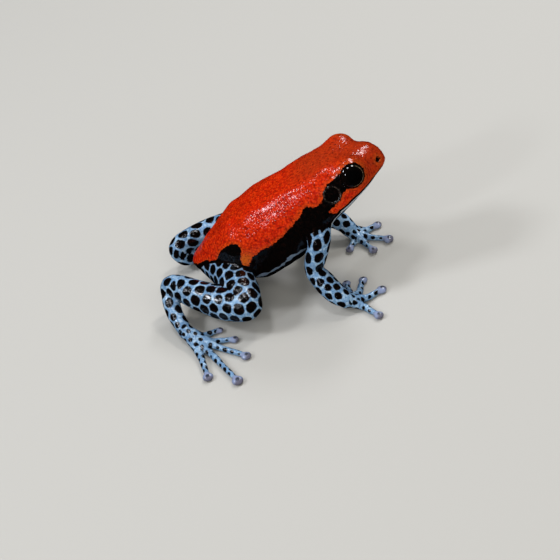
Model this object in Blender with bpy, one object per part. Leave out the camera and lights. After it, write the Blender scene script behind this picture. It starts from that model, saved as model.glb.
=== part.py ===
"""Reticulated poison frog (Ranitomeya reticulata), a life-size still model in 21 parts.

The frog sits up on its hands and feet on a flat floor, nose along +X, its left side along +Y.
Trunk and head are one loft along a bent backbone line, parted at the neck; each limb is a chain
of tubes with changing thickness. Neighbouring parts keep a thin gap, so that none touches another.
"""
import math

import bmesh
import bpy
import numpy as np
from mathutils import Matrix, Vector

# Driving dimensions, in millimetres and degrees
MM = 0.001
FROG_LENGTH = 16.5          # snout to vent, along the backbone line
ORIGIN = (6.44, -1.32)      # middle of the footprint, measured from the vent
PART_GAP = 0.28             # between a limb part and what it grows from
FINE_GAP = 0.12             # round an eyeball or an eardrum
MOUTH_GAP = 0.20            # between upper head and lower jaw
WELD = 0.0005 * MM          # corners closer than this are one
SHARP_EDGE = 40             # faces that meet more steeply keep a crisp edge

# Backbone line: how steeply it climbs, where it looks and how far it leans
VENT_HEIGHT = 2.1
TRUNK_PITCH, HEAD_PITCH = 26.4, 20.6
TRUNK_YAW, HEAD_YAW = -4.0, 15.3
TRUNK_ROLL, HEAD_ROLL = 2.0, 4.0
NECK_FROM, NECK_TO = 9.0, 12.1
NECK_CUT = 11.3
SECTION_POWER = 2.3         # 2 is an ellipse, more is squarer
SECTION_SIDES = 28

# Body outline: distance from the vent, half width, height above and depth below the backbone
# line, and the level of the widest point
BODY_OUTLINE = [
    (0.00, 0.30, 0.36, 0.42, 0.00),
    (0.50, 0.82, 0.66, 0.98, 0.00),
    (1.20, 1.25, 0.92, 1.45, 0.00),
    (3.00, 2.25, 1.50, 2.45, 0.00),
    (5.00, 3.08, 2.16, 3.38, 0.00),
    (7.50, 3.14, 2.35, 3.28, -0.10),
    (10.00, 2.80, 2.32, 2.42, -0.15),
    (11.50, 2.75, 2.30, 1.95, -0.20),
    (12.60, 2.65, 2.25, 1.65, -0.30),
    (13.50, 2.40, 2.05, 1.47, -0.35),
    (14.50, 1.98, 1.60, 1.27, -0.38),
    (15.30, 1.50, 1.27, 1.12, -0.40),
    (16.00, 0.98, 0.82, 1.02, -0.38),
    (16.35, 0.60, 0.34, 0.82, -0.36),
    (16.50, 0.26, -0.10, 0.60, -0.35),
]
TORSO_STATIONS = (0.0, 0.25, 0.7, 1.3, 2.1, 3.0, 4.0, 5.0, 6.2, 7.5, 8.8, 10.0)
HEAD_STATIONS = (12.0, 12.7, 13.4, 14.1, 14.8, 15.3, 15.7, 16.05, 16.3, 16.5)

# Head features, as (distance from the vent, sideways, height above the backbone line)
EYE_CENTRE = (14.10, 1.87, 0.71)
EYE_RADIUS = 0.96
EYE_BACK = 0.45             # an eye is flat behind, this far in front of its centre
EYE_OUTWARD = (0.26, 1.0, 0.22)
LID_BULGE_RADIUS = 1.20
LID_BULGE_BACK = 0.10
EYE_OPENING_RADIUS = 0.93
EYE_OPENING_START = 0.36
EAR_PLACE = (12.34, 0.61)
EAR_RADIUS = 0.56
EAR_THICKNESS = 0.26
EAR_RING_WIRE = 0.10
NOSTRIL_PLACE = (16.09, -0.14)
NOSTRIL_RADIUS = 0.15
NOSTRIL_DEPTH = 0.35
MOUTH_LINE = [(11.2, -0.95), (12.0, -0.72), (13.1, -0.68), (14.1, -0.72), (15.0, -0.80),
              (15.8, -0.88), (17.3, -0.92)]
JAW_FLOOR = -3.2            # below every part of the jaw
JAW_REACH = 4.0             # beyond the jaw on each side
UPPER_LIP_WIRE, LOWER_LIP_WIRE = 0.15, 0.12
UPPER_LIP_TIP, LOWER_LIP_TIP = 16.42, 16.12
LIP_STATIONS = (11.85, 12.4, 13.1, 13.8, 14.5, 15.1, 15.6, 15.95, 16.25)
LIP_SUNK = 0.55             # share of the lip wire inside the head
LIP_OFFSET = 0.8            # lip middle from the mouth line, in wires
CUTTER_REACH = 1.0          # how far a cutter stands out of the skin

# Limbs: points of each course with their radius, x forward from the vent, y left, z up
UPPER_ARM_RIGHT = [(9.9, -2.0, 5.5, 0.80), (9.85, -3.3, 4.95, 0.80), (9.4, -3.6, 3.85, 0.74),
                   (9.0, -3.6, 2.75, 0.66)]
FOREARM_RIGHT = [(8.95, -3.65, 2.5, 0.66), (9.6, -4.2, 1.9, 0.78), (10.3, -4.85, 1.3, 0.72),
                 (10.85, -5.2, 0.95, 0.56)]
UPPER_ARM_LEFT = [(9.9, 1.2, 5.0, 0.80), (9.8, 2.4, 4.6, 0.80), (9.1, 3.3, 3.8, 0.74),
                  (8.45, 3.65, 2.95, 0.66)]
FOREARM_LEFT = [(8.4, 3.7, 2.6, 0.66), (9.2, 3.65, 2.0, 0.78), (10.2, 3.3, 1.45, 0.70),
                (10.85, 2.9, 0.95, 0.55)]
THIGH_RIGHT = [(1.5, -0.8, 2.35, 0.95), (2.5, -2.0, 2.5, 1.20), (3.5, -3.7, 2.6, 1.27),
               (4.0, -5.1, 2.45, 1.12)]
SHANK_RIGHT = [(4.15, -5.75, 2.15, 1.05), (2.6, -5.15, 2.1, 1.15), (0.65, -3.95, 2.25, 1.06),
               (-1.3, -2.6, 2.35, 0.82)]
TARSUS_RIGHT = [(-1.6, -2.75, 1.95, 0.62), (-1.45, -4.1, 1.3, 0.58), (-0.7, -5.6, 0.8, 0.52)]
THIGH_LEFT = [(1.5, 0.8, 2.3, 0.95), (2.6, 1.8, 2.25, 1.15), (3.9, 3.3, 2.15, 1.25),
              (4.6, 4.4, 1.90, 1.10)]
SHANK_LEFT = [(4.55, 4.95, 1.70, 1.02), (2.8, 4.45, 1.80, 1.02), (0.4, 3.40, 2.10, 0.90),
              (-1.35, 2.6, 1.90, 0.78)]
TARSUS_LEFT = [(-1.45, 2.4, 1.25, 0.64), (-0.9, 2.5, 0.85, 0.58), (0.6, 3.8, 0.66, 0.50),
               (1.6, 4.8, 0.68, 0.48)]

# Digits: base and tip on the floor, and the radius of the disc at the end
HAND_RIGHT_ROOT = (10.85, -5.1, 0.80)
HAND_RIGHT = [((11.05, -3.95), (10.70, -2.52), 0.30), ((11.60, -3.95), (11.88, -2.40), 0.32),
              ((12.15, -4.55), (13.24, -3.76), 0.36), ((12.05, -5.45), (13.11, -6.51), 0.33)]
HAND_LEFT_ROOT = (10.75, 2.95, 0.80)
HAND_LEFT = [((11.15, 2.30), (10.82, 1.35), 0.30), ((11.70, 2.05), (12.54, 0.85), 0.32),
             ((12.00, 2.45), (13.63, 1.86), 0.36), ((11.80, 3.10), (12.75, 3.70), 0.33)]
FOOT_RIGHT_ROOT = (-0.55, -5.85, 0.72)
FOOT_RIGHT = [((0.45, -6.05), (1.72, -5.58), 0.25), ((1.05, -6.75), (2.87, -6.83), 0.31),
              ((1.45, -7.25), (3.84, -8.78), 0.35), ((1.00, -7.65), (3.40, -11.25), 0.40),
              ((0.45, -7.85), (1.25, -10.44), 0.37)]
FOOT_LEFT_ROOT = (1.7, 4.85, 0.68)
FOOT_LEFT = [((2.50, 4.60), (3.60, 4.30), 0.25), ((2.90, 5.15), (4.70, 5.35), 0.31),
             ((3.10, 5.60), (5.60, 6.60), 0.35), ((2.90, 6.00), (5.50, 8.60), 0.40),
             ((2.45, 6.05), (3.70, 8.20), 0.37)]
DIGIT_ROOT_RADIUS, DIGIT_BASE_RADIUS, DIGIT_TIP_RADIUS = 0.46, 0.31, 0.24
DIGIT_BASE_HEIGHT, DIGIT_TIP_HEIGHT = 0.34, 0.22
DISC_HEIGHT = 0.25
DISC_NARROWING = 0.94       # of a disc across its digit
KNUCKLE_SHARE = 0.45        # from the base of a digit to its tip
TIP_NARROWING = 0.8         # of a digit where it enters its disc
LIMB_BEVEL, DIGIT_BEVEL = 5, 2


# Materials
def skin(name, colour, roughness):
    material = bpy.data.materials.new(name)
    material.use_nodes = True
    shader = material.node_tree.nodes["Principled BSDF"]
    shader.inputs["Base Color"].default_value = (*colour, 1.0)
    shader.inputs["Roughness"].default_value = roughness
    shader.inputs["Metallic"].default_value = 0.0
    return material


def red_skin():
    return skin("red_skin", (0.72, 0.045, 0.008), 0.35)


def pale_throat_skin():
    return skin("pale_throat_skin", (0.42, 0.47, 0.50), 0.40)


def blue_net_skin():
    return skin("blue_net_skin", (0.22, 0.38, 0.55), 0.35)


def black_ear_skin():
    return skin("black_ear_skin", (0.010, 0.008, 0.008), 0.30)


def black_eye():
    return skin("black_eye", (0.004, 0.004, 0.004), 0.04)


# Curves through named sizes
def smooth_through(places, values, wanted):
    """Smooth curve through the values that never swings past them."""
    places, values = np.asarray(places, float), np.asarray(values, float)
    step = np.diff(places)
    slope = np.diff(values) / step
    tangent = np.empty(len(values))
    tangent[0], tangent[-1] = slope[0], slope[-1]
    for i in range(1, len(values) - 1):
        same_way = slope[i - 1] * slope[i] > 0
        tangent[i] = 2 * slope[i - 1] * slope[i] / (slope[i - 1] + slope[i]) if same_way else 0.0
    wanted = np.clip(wanted, places[0], places[-1])
    cell = np.clip(np.searchsorted(places, wanted) - 1, 0, len(step) - 1)
    t = (wanted - places[cell]) / step[cell]
    start = (1 + 2 * t) * (1 - t) ** 2 * values[cell] + t * (1 - t) ** 2 * step[cell] * tangent[cell]
    end = t * t * (3 - 2 * t) * values[cell + 1] + t * t * (t - 1) * step[cell] * tangent[cell + 1]
    return start + end


def ease(t):
    t = np.clip(t, 0.0, 1.0)
    return t * t * (3 - 2 * t)


def backbone():
    """Points and angles of the backbone line at every tenth of a millimetre."""
    step = 0.1
    along = np.arange(0.0, FROG_LENGTH + 1.0, step)
    bend = ease((along - NECK_FROM) / (NECK_TO - NECK_FROM))
    pitch = np.radians(TRUNK_PITCH + (HEAD_PITCH - TRUNK_PITCH) * bend)
    yaw = np.radians(TRUNK_YAW + (HEAD_YAW - TRUNK_YAW) * bend)
    roll = np.radians(TRUNK_ROLL + (HEAD_ROLL - TRUNK_ROLL) * bend)
    run = np.stack([np.cos(pitch) * np.cos(yaw), np.cos(pitch) * np.sin(yaw), np.sin(pitch)], 1)
    points = np.vstack([np.zeros(3), np.cumsum(run[:-1] * step, axis=0)])
    points[:, 2] += VENT_HEIGHT
    return along, points, pitch, yaw, roll


BACKBONE = backbone()


def frame_at(distance):
    """Backbone point at a distance from the vent, with its forward, left and up directions."""
    along, points, pitch, yaw, roll = BACKBONE
    centre = np.array([np.interp(distance, along, points[:, axis]) for axis in range(3)])
    p, y, r = (np.interp(distance, along, angle) for angle in (pitch, yaw, roll))
    forward = np.array([math.cos(p) * math.cos(y), math.cos(p) * math.sin(y), math.sin(p)])
    level_left = np.array([-math.sin(y), math.cos(y), 0.0])
    level_up = np.cross(forward, level_left)
    left = level_left * math.cos(r) - level_up * math.sin(r)
    up = level_up * math.cos(r) + level_left * math.sin(r)
    centre = centre + forward * min(distance, 0.0)
    return centre, forward, left, up


def body_point(distance, sideways, height):
    centre, _, left, up = frame_at(distance)
    return centre + left * sideways + up * height


def outline_at(distance):
    rows = np.array(BODY_OUTLINE)
    return [float(smooth_through(rows[:, 0], rows[:, k], distance)) for k in range(1, 5)]


def half_width_at(distance, height):
    """Half width of the body at one height above the backbone line."""
    half, top, bottom, middle = outline_at(distance)
    reach = top - middle if height > middle else bottom + middle
    share = min(abs(height - middle) / reach, 1.0)
    return half * (1 - share ** SECTION_POWER) ** (1 / SECTION_POWER)


# Mesh helpers
def link(obj, collection=None):
    """Puts an object in one collection only, the scene's own unless another is given."""
    for old in list(obj.users_collection):
        old.objects.unlink(obj)
    (collection or bpy.context.scene.collection).objects.link(obj)
    return obj


def mesh_object(name, mesh_tools):
    mesh = bpy.data.meshes.new(name)
    mesh_tools.to_mesh(mesh)
    mesh_tools.free()
    return link(bpy.data.objects.new(name, mesh))


def rounded_power(value):
    return math.copysign(abs(value) ** (2 / SECTION_POWER), value)


def body_loft(name, stations, grow=0.0):
    """Closed loft through the body's sections; grow thickens it all round."""
    tools = bmesh.new()
    rings = []
    for station in stations:
        half, top, bottom, middle = outline_at(station)
        ring = []
        for k in range(SECTION_SIDES):
            angle = 2 * math.pi * k / SECTION_SIDES
            across, rise = rounded_power(math.cos(angle)), rounded_power(math.sin(angle))
            reach = (top - middle if rise > 0 else bottom + middle) + grow
            place = body_point(station, (half + grow) * across, middle + reach * rise)
            ring.append(tools.verts.new(place * MM))
        rings.append(ring)
    for near, far in zip(rings, rings[1:]):
        for k in range(SECTION_SIDES):
            after = (k + 1) % SECTION_SIDES
            tools.faces.new((near[k], far[k], far[after], near[after]))
    tools.faces.new(rings[0])
    tools.faces.new(reversed(rings[-1]))
    bmesh.ops.recalc_face_normals(tools, faces=tools.faces)
    return mesh_object(name, tools)


def mesh_from_curve(curve_object):
    """Plain mesh of a curve object, its caps welded, the curve removed."""
    depsgraph = bpy.context.evaluated_depsgraph_get()
    mesh = bpy.data.meshes.new_from_object(curve_object.evaluated_get(depsgraph))
    name, place, curve = curve_object.name, curve_object.matrix_world.copy(), curve_object.data
    bpy.data.objects.remove(curve_object)
    bpy.data.curves.remove(curve)
    mesh.transform(place)
    result = link(bpy.data.objects.new(name, mesh))
    tools = bmesh.new()
    tools.from_mesh(mesh)
    bmesh.ops.remove_doubles(tools, verts=tools.verts, dist=WELD)
    bmesh.ops.recalc_face_normals(tools, faces=tools.faces)
    tools.to_mesh(mesh)
    tools.free()
    return result


def course(points, pieces):
    """Smooth course through points of any width of row, with pieces samples for each span."""
    points = [np.asarray(point, float) for point in points]
    padded = [2 * points[0] - points[1], *points, 2 * points[-1] - points[-2]]
    samples = []
    for a, b, c, d in zip(padded, padded[1:], padded[2:], padded[3:]):
        for k in range(pieces):
            t = k / pieces
            samples.append(0.5 * (2 * b + (c - a) * t + (2 * a - 5 * b + 4 * c - d) * t * t
                                  + (3 * b - a - 3 * c + d) * t ** 3))
    samples.append(points[-1])
    return samples


def round_ended(samples):
    """Adds the shrinking rings that round off both ends of a tube."""
    def cap(end, inner):
        outward = (end[:3] - inner[:3]) / np.linalg.norm(end[:3] - inner[:3])
        return [np.append(end[:3] + outward * end[3] * math.sin(turn), end[3] * math.cos(turn))
                for turn in map(math.radians, (38, 74))]
    first = cap(samples[0], samples[1])
    last = cap(samples[-1], samples[-2])
    return [*reversed(first), *samples, *last]


def tube(name, points, bevel, pieces=3, grow=0.0):
    """Tube along a course whose rows are x, y, z and radius, with rounded ends."""
    samples = round_ended([np.append(row[:3], row[3] + grow) for row in course(points, pieces)])
    curve = bpy.data.curves.new(name, "CURVE")
    curve.dimensions = "3D"
    curve.bevel_depth = MM
    curve.bevel_resolution = bevel
    curve.use_fill_caps = True
    spline = curve.splines.new("POLY")
    spline.points.add(len(samples) - 1)
    for point, row in zip(spline.points, samples):
        point.co = (*(row[:3] * MM), 1.0)
        point.radius = row[3]
    return mesh_from_curve(link(bpy.data.objects.new(name, curve)))


def turned_matrix(place, outward, sizes):
    """Matrix that scales by sizes, turns +Z to the outward direction and moves to the place."""
    turn = Vector(outward).to_track_quat("Z", "Y").to_matrix().to_4x4()
    return Matrix.Translation(Vector(place) * MM) @ turn @ Matrix.Diagonal((*sizes, 1.0))


def ball(name, place, sizes, outward=(0, 0, 1), rings=10, sides=16):
    tools = bmesh.new()
    bmesh.ops.create_uvsphere(tools, u_segments=sides, v_segments=rings, radius=MM,
                              matrix=turned_matrix(place, outward, sizes))
    return mesh_object(name, tools)


def drum(name, place, outward, radius, start, end, sides=20):
    """Short cylinder along the outward direction, from start to end past the place."""
    middle = np.asarray(place) + np.asarray(outward) * (start + end) / 2
    tools = bmesh.new()
    bmesh.ops.create_cone(tools, cap_ends=True, segments=sides, radius1=radius * MM,
                          radius2=radius * MM, depth=(end - start) * MM,
                          matrix=turned_matrix(middle, outward, (1, 1, 1)))
    return mesh_object(name, tools)


def ring(name, place, outward, radius, wire):
    bpy.ops.mesh.primitive_torus_add(major_radius=radius * MM, minor_radius=wire * MM,
                                     major_segments=20, minor_segments=6)
    result = bpy.context.object
    result.name = name
    result.data.transform(turned_matrix(place, outward, (1, 1, 1)))
    return result


def applied(obj):
    """Bakes the object's modifiers into its own mesh."""
    depsgraph = bpy.context.evaluated_depsgraph_get()
    mesh = bpy.data.meshes.new_from_object(obj.evaluated_get(depsgraph))
    obj.modifiers.clear()
    old_mesh = obj.data
    obj.data = mesh
    bpy.data.meshes.remove(old_mesh)
    return obj


def boolean(obj, others, operation):
    """Boolean with a collection of closed meshes, applied, the others then removed."""
    helpers = bpy.data.collections.new("boolean_helpers")
    bpy.context.scene.collection.children.link(helpers)
    for other in others:
        link(other, helpers)
        other.hide_render = True
        other.display_type = "WIRE"
    modifier = obj.modifiers.new("boolean", "BOOLEAN")
    modifier.operation = operation
    modifier.solver = "EXACT"
    modifier.operand_type = "COLLECTION"
    modifier.collection = helpers
    applied(obj)
    for other in others:
        mesh = other.data
        bpy.data.objects.remove(other)
        bpy.data.meshes.remove(mesh)
    bpy.data.collections.remove(helpers)
    return obj


def fused(pieces):
    return boolean(pieces[0], pieces[1:], "UNION")


def cut(obj, *cutters):
    return boolean(obj, list(cutters), "DIFFERENCE")


def kept_inside(obj, limit):
    return boolean(obj, [limit], "INTERSECT")


def largest_surface(obj):
    """Keeps the largest closed surface of a mesh and drops loose scraps."""
    tools = bmesh.new()
    tools.from_mesh(obj.data)
    bmesh.ops.remove_doubles(tools, verts=tools.verts, dist=WELD)
    left_over = set(tools.faces)
    islands = []
    while left_over:
        island, reach = [], [left_over.pop()]
        while reach:
            face = reach.pop()
            island.append(face)
            near = {other for edge in face.edges for other in edge.link_faces} & left_over
            left_over -= near
            reach.extend(near)
        islands.append(island)
    islands.sort(key=lambda island: sum(face.calc_area() for face in island))
    scraps = [face for island in islands[:-1] for face in island]
    bmesh.ops.delete(tools, geom=scraps, context="FACES")
    bmesh.ops.triangulate(tools, faces=tools.faces)
    tools.to_mesh(obj.data)
    tools.free()
    return obj


def below_floor():
    side, depth = 60.0, 10.0
    tools = bmesh.new()
    bmesh.ops.create_cube(tools, size=MM, matrix=Matrix.Translation((0, 0, -depth / 2 * MM))
                          @ Matrix.Diagonal((side, side, depth, 1.0)))
    return mesh_object("below_floor", tools)


# Trunk and head
def whole_body(grow):
    stations = (0.0 - grow, *TORSO_STATIONS[1:], *HEAD_STATIONS)
    return body_loft("whole_body", stations, grow)


def torso():
    return body_loft("torso", (*TORSO_STATIONS, NECK_CUT - PART_GAP / 2))


def head_shell(name):
    return body_loft(name, (NECK_CUT + PART_GAP / 2, *HEAD_STATIONS))


def jaw_block(name, grow):
    """Block below the mouth line that parts the lower jaw; grow widens it upward and back."""
    outline = [(s - grow if s < NECK_TO else s, n + grow) for s, n in MOUTH_LINE]
    outline += [(MOUTH_LINE[-1][0], JAW_FLOOR), (MOUTH_LINE[0][0] - grow, JAW_FLOOR)]
    curve = bpy.data.curves.new(name, "CURVE")
    curve.dimensions = "2D"
    curve.fill_mode = "BOTH"
    curve.extrude = JAW_REACH * MM
    spline = curve.splines.new("POLY")
    spline.use_cyclic_u = True
    spline.points.add(len(outline) - 1)
    reference = NECK_TO
    for point, (s, n) in zip(spline.points, outline):
        point.co = ((s - reference) * MM, n * MM, 0.0, 1.0)
    centre, forward, left, up = frame_at(reference)
    block = bpy.data.objects.new(name, curve)
    axes = Matrix((forward, up, -left)).transposed().to_4x4()
    block.matrix_world = Matrix.Translation(Vector(centre) * MM) @ axes
    link(block)
    bpy.context.view_layer.update()
    return mesh_from_curve(block)


def lip(name, wire, offset, tip):
    """Ridge along the mouth line, round the snout from corner to corner."""
    def height_at(station):
        return float(smooth_through(*zip(*MOUTH_LINE), station)) + offset
    side_points = []
    for station in LIP_STATIONS:
        if station < tip - wire / 2:
            sideways = half_width_at(station, height_at(station)) - wire * LIP_SUNK
            side_points.append((station, sideways, height_at(station)))
    front = (tip - wire * LIP_SUNK, 0.0, height_at(tip))
    path = [*side_points, front, *((s, -w, n) for s, w, n in reversed(side_points))]
    rows = [(*body_point(*place), wire) for place in path]
    return tube(name, rows, DIGIT_BEVEL, pieces=1)


def eye_place(side):
    station, sideways, height = EYE_CENTRE
    _, forward, left, up = frame_at(station)
    out = np.array(EYE_OUTWARD)
    outward = forward * out[0] + left * out[1] * side + up * out[2]
    return body_point(station, sideways * side, height), outward / np.linalg.norm(outward)


def eye_cap(name, side, grow, rings, sides):
    """Front of an eyeball, cut flat behind; grow makes room for it in the head."""
    centre, outward = eye_place(side)
    radius = EYE_RADIUS + grow
    whole = ball(name, centre, (radius,) * 3, outward, rings=rings, sides=sides)
    return cut(whole, drum("behind_" + name, centre, outward, radius + CUTTER_REACH,
                           -radius - CUTTER_REACH, EYE_BACK - grow))


def surface_place(station, height, side):
    """Point on the side of the body and the outward direction there."""
    step = 0.1
    place = body_point(station, side * half_width_at(station, height), height)
    ahead = body_point(station + step, side * half_width_at(station + step, height), height)
    above = body_point(station, side * half_width_at(station, height + step), height + step)
    outward = np.cross(ahead - place, above - place) * -side
    return place, outward / np.linalg.norm(outward)


def head():
    pieces = [head_shell("head")]
    cutters = []
    for side, label in ((1, "left"), (-1, "right")):
        eye_centre, eye_out = eye_place(side)
        _, forward, _, _ = frame_at(EYE_CENTRE[0])
        pieces.append(ball("lid_" + label, eye_centre - forward * LID_BULGE_BACK,
                           (LID_BULGE_RADIUS,) * 3, outward=eye_out, rings=10, sides=18))
        cutters.append(eye_cap("socket_" + label, side, FINE_GAP, rings=9, sides=18))
        cutters.append(drum("opening_" + label, eye_centre, eye_out, EYE_OPENING_RADIUS,
                            EYE_OPENING_START, EYE_RADIUS + CUTTER_REACH))
        ear_centre, ear_out = surface_place(*EAR_PLACE, side)
        pieces.append(ring("ear_ring_" + label, ear_centre, ear_out,
                           EAR_RADIUS + FINE_GAP + EAR_RING_WIRE / 2, EAR_RING_WIRE))
        cutters.append(drum("ear_pit_" + label, ear_centre, ear_out, EAR_RADIUS + FINE_GAP,
                            -EAR_THICKNESS - FINE_GAP, CUTTER_REACH))
        nostril, nostril_out = surface_place(*NOSTRIL_PLACE, side)
        cutters.append(drum("nostril_" + label, nostril, nostril_out, NOSTRIL_RADIUS,
                            -NOSTRIL_DEPTH, CUTTER_REACH, sides=10))
    pieces.append(lip("upper_lip", UPPER_LIP_WIRE, UPPER_LIP_WIRE * LIP_OFFSET + MOUTH_GAP,
                      UPPER_LIP_TIP))
    whole = fused(pieces)
    return cut(whole, jaw_block("mouth_cut", MOUTH_GAP), *cutters)


def lower_jaw():
    lower_lip = lip("lower_lip", LOWER_LIP_WIRE, -LOWER_LIP_WIRE * LIP_OFFSET, LOWER_LIP_TIP)
    return kept_inside(fused([head_shell("lower_jaw"), lower_lip]), jaw_block("jaw_limit", 0.0))


def eardrum(label, side):
    centre, outward = surface_place(*EAR_PLACE, side)
    half = EAR_THICKNESS / 2
    return ball("eardrum_" + label, centre - outward * half, (EAR_RADIUS, EAR_RADIUS, half),
                outward, rings=8, sides=20)


# Limbs
def limb_part(name, rows, *neighbours):
    """Tube of one limb length, cut clear of grown copies of its neighbours."""
    return cut(tube(name, rows, LIMB_BEVEL), *neighbours)


def digits(name, root, rows, neighbour):
    """Hand or foot: each digit is a tube from the root over its base to its tip, with a disc."""
    pieces = []
    for number, (base, tip, disc) in enumerate(rows, start=1):
        knuckle = [base[k] + (tip[k] - base[k]) * KNUCKLE_SHARE for k in range(2)]
        points = [(*root, DIGIT_ROOT_RADIUS), (*base, DIGIT_BASE_HEIGHT, DIGIT_BASE_RADIUS),
                  (*knuckle, (DIGIT_BASE_HEIGHT + DIGIT_TIP_HEIGHT) / 2,
                   (DIGIT_BASE_RADIUS + DIGIT_TIP_RADIUS) / 2),
                  (*tip, DIGIT_TIP_HEIGHT, DIGIT_TIP_RADIUS * TIP_NARROWING)]
        pieces.append(tube(f"{name}_{number}", points, DIGIT_BEVEL, pieces=2))
        pieces.append(ball(f"{name}_disc_{number}", (*tip, DIGIT_TIP_HEIGHT),
                           (disc, disc * DISC_NARROWING, DISC_HEIGHT), rings=6, sides=10))
    whole = fused(pieces)
    whole.name = name
    return cut(whole, neighbour, below_floor())


def arm(label, upper_rows, fore_rows, hand_root, hand_rows):
    def grown(name, rows):
        return tube(name, rows, LIMB_BEVEL, grow=PART_GAP)
    yield limb_part("upper_arm_" + label, upper_rows, whole_body(PART_GAP)), blue_net_skin
    yield limb_part("forearm_" + label, fore_rows, grown("upper", upper_rows),
                    whole_body(PART_GAP)), blue_net_skin
    yield digits("hand_" + label, hand_root, hand_rows, grown("fore", fore_rows)), blue_net_skin


def leg(label, thigh_rows, shank_rows, tarsus_rows, foot_root, foot_rows):
    def grown(name, rows):
        return tube(name, rows, LIMB_BEVEL, grow=PART_GAP)
    yield limb_part("thigh_" + label, thigh_rows, whole_body(PART_GAP)), blue_net_skin
    yield limb_part("shank_" + label, shank_rows, grown("thigh", thigh_rows),
                    whole_body(PART_GAP)), blue_net_skin
    yield limb_part("tarsus_" + label, tarsus_rows, grown("shank", shank_rows),
                    whole_body(PART_GAP)), blue_net_skin
    yield digits("foot_" + label, foot_root, foot_rows, grown("tarsus", tarsus_rows)), blue_net_skin


def frog_parts():
    yield torso(), red_skin
    yield head(), red_skin
    yield lower_jaw(), pale_throat_skin
    for side, label in ((1, "left"), (-1, "right")):
        yield eye_cap("eye_" + label, side, 0.0, rings=12, sides=20), black_eye
        yield eardrum(label, side), black_ear_skin
    yield from arm("right", UPPER_ARM_RIGHT, FOREARM_RIGHT, HAND_RIGHT_ROOT, HAND_RIGHT)
    yield from arm("left", UPPER_ARM_LEFT, FOREARM_LEFT, HAND_LEFT_ROOT, HAND_LEFT)
    yield from leg("right", THIGH_RIGHT, SHANK_RIGHT, TARSUS_RIGHT, FOOT_RIGHT_ROOT, FOOT_RIGHT)
    yield from leg("left", THIGH_LEFT, SHANK_LEFT, TARSUS_LEFT, FOOT_LEFT_ROOT, FOOT_LEFT)


def main():
    for obj in list(bpy.data.objects):
        bpy.data.objects.remove(obj)
    frog = bpy.data.collections.new("reticulated_poison_frog")
    bpy.context.scene.collection.children.link(frog)
    to_origin = Matrix.Translation((-ORIGIN[0] * MM, -ORIGIN[1] * MM, 0.0))
    for part, material in frog_parts():
        largest_surface(part)
        part.data.transform(to_origin)
        part.data.shade_smooth()
        part.data.set_sharp_from_angle(angle=math.radians(SHARP_EDGE))
        part.data.materials.clear()
        part.data.materials.append(material())
        link(part, frog)


if __name__ == "__main__":
    main()
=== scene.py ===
# %% [markdown]
# # A reticulated poison frog, life size
# The real animal is 16.5 mm long, with a granular red back, a black flank and legs of black
# spots in a pale blue net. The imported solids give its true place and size. This lesson lays one
# unbroken moist skin over them, then makes the eyes, the fine granules, the floor and the light.
# The skin is one field of distances, because flesh has no seams that a box model would leave.

import math

import bmesh
import bpy
import numpy as np
from mathutils import Matrix, Vector, noise


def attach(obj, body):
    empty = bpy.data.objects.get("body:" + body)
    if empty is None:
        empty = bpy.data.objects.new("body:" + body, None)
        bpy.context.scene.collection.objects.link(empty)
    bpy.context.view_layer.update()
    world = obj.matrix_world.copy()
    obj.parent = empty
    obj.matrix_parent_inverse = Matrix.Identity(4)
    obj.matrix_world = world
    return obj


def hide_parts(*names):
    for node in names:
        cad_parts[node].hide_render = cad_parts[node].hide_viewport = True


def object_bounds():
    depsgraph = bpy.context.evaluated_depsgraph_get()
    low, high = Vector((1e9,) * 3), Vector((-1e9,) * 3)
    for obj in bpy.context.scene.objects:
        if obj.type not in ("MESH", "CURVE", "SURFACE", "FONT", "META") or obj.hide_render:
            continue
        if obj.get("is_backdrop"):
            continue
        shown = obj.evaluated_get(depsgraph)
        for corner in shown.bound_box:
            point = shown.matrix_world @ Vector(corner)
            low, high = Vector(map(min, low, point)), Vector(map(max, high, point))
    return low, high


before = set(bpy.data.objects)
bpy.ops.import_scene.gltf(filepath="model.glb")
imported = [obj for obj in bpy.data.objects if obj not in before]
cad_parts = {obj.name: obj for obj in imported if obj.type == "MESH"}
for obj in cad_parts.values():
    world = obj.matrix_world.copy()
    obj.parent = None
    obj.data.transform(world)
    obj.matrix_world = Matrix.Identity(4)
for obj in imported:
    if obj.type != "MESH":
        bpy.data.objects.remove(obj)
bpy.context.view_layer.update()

# %% [markdown]
# ## Units and smooth curves
# All sizes are in millimetres from the vent, the frog's rear end: x forward, y to its left, z up.
# One function turns them into the scene's metres. A size that changes along the body is a row of
# values with a smooth curve through them that never swings past a value.

# %% Units and curves
MM = 0.001
ORIGIN = np.array((6.44, -1.32, 0.0))


def in_metres(points):
    return (np.asarray(points) - ORIGIN) * MM


def smooth_through(places, values, wanted):
    places, values = np.asarray(places, float), np.asarray(values, float)
    step = np.diff(places)
    slope = np.diff(values) / step
    tangent = np.empty(len(values))
    tangent[0], tangent[-1] = slope[0], slope[-1]
    for i in range(1, len(values) - 1):
        same_way = slope[i - 1] * slope[i] > 0
        tangent[i] = 2 * slope[i - 1] * slope[i] / (slope[i - 1] + slope[i]) if same_way else 0.0
    wanted = np.clip(wanted, places[0], places[-1])
    cell = np.clip(np.searchsorted(places, wanted) - 1, 0, len(step) - 1)
    t = (wanted - places[cell]) / step[cell]
    start = (1 + 2 * t) * (1 - t) ** 2 * values[cell] + t * (1 - t) ** 2 * step[cell] * tangent[cell]
    end = t * t * (3 - 2 * t) * values[cell + 1] + t * t * (t - 1) * step[cell] * tangent[cell + 1]
    return start + end


def ease(t):
    t = np.clip(t, 0.0, 1.0)
    return t * t * (3 - 2 * t)


print("halfway between 0 and 2:", smooth_through((0, 1, 2), (0, 1, 2), np.array([1.0]))[0])

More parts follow.
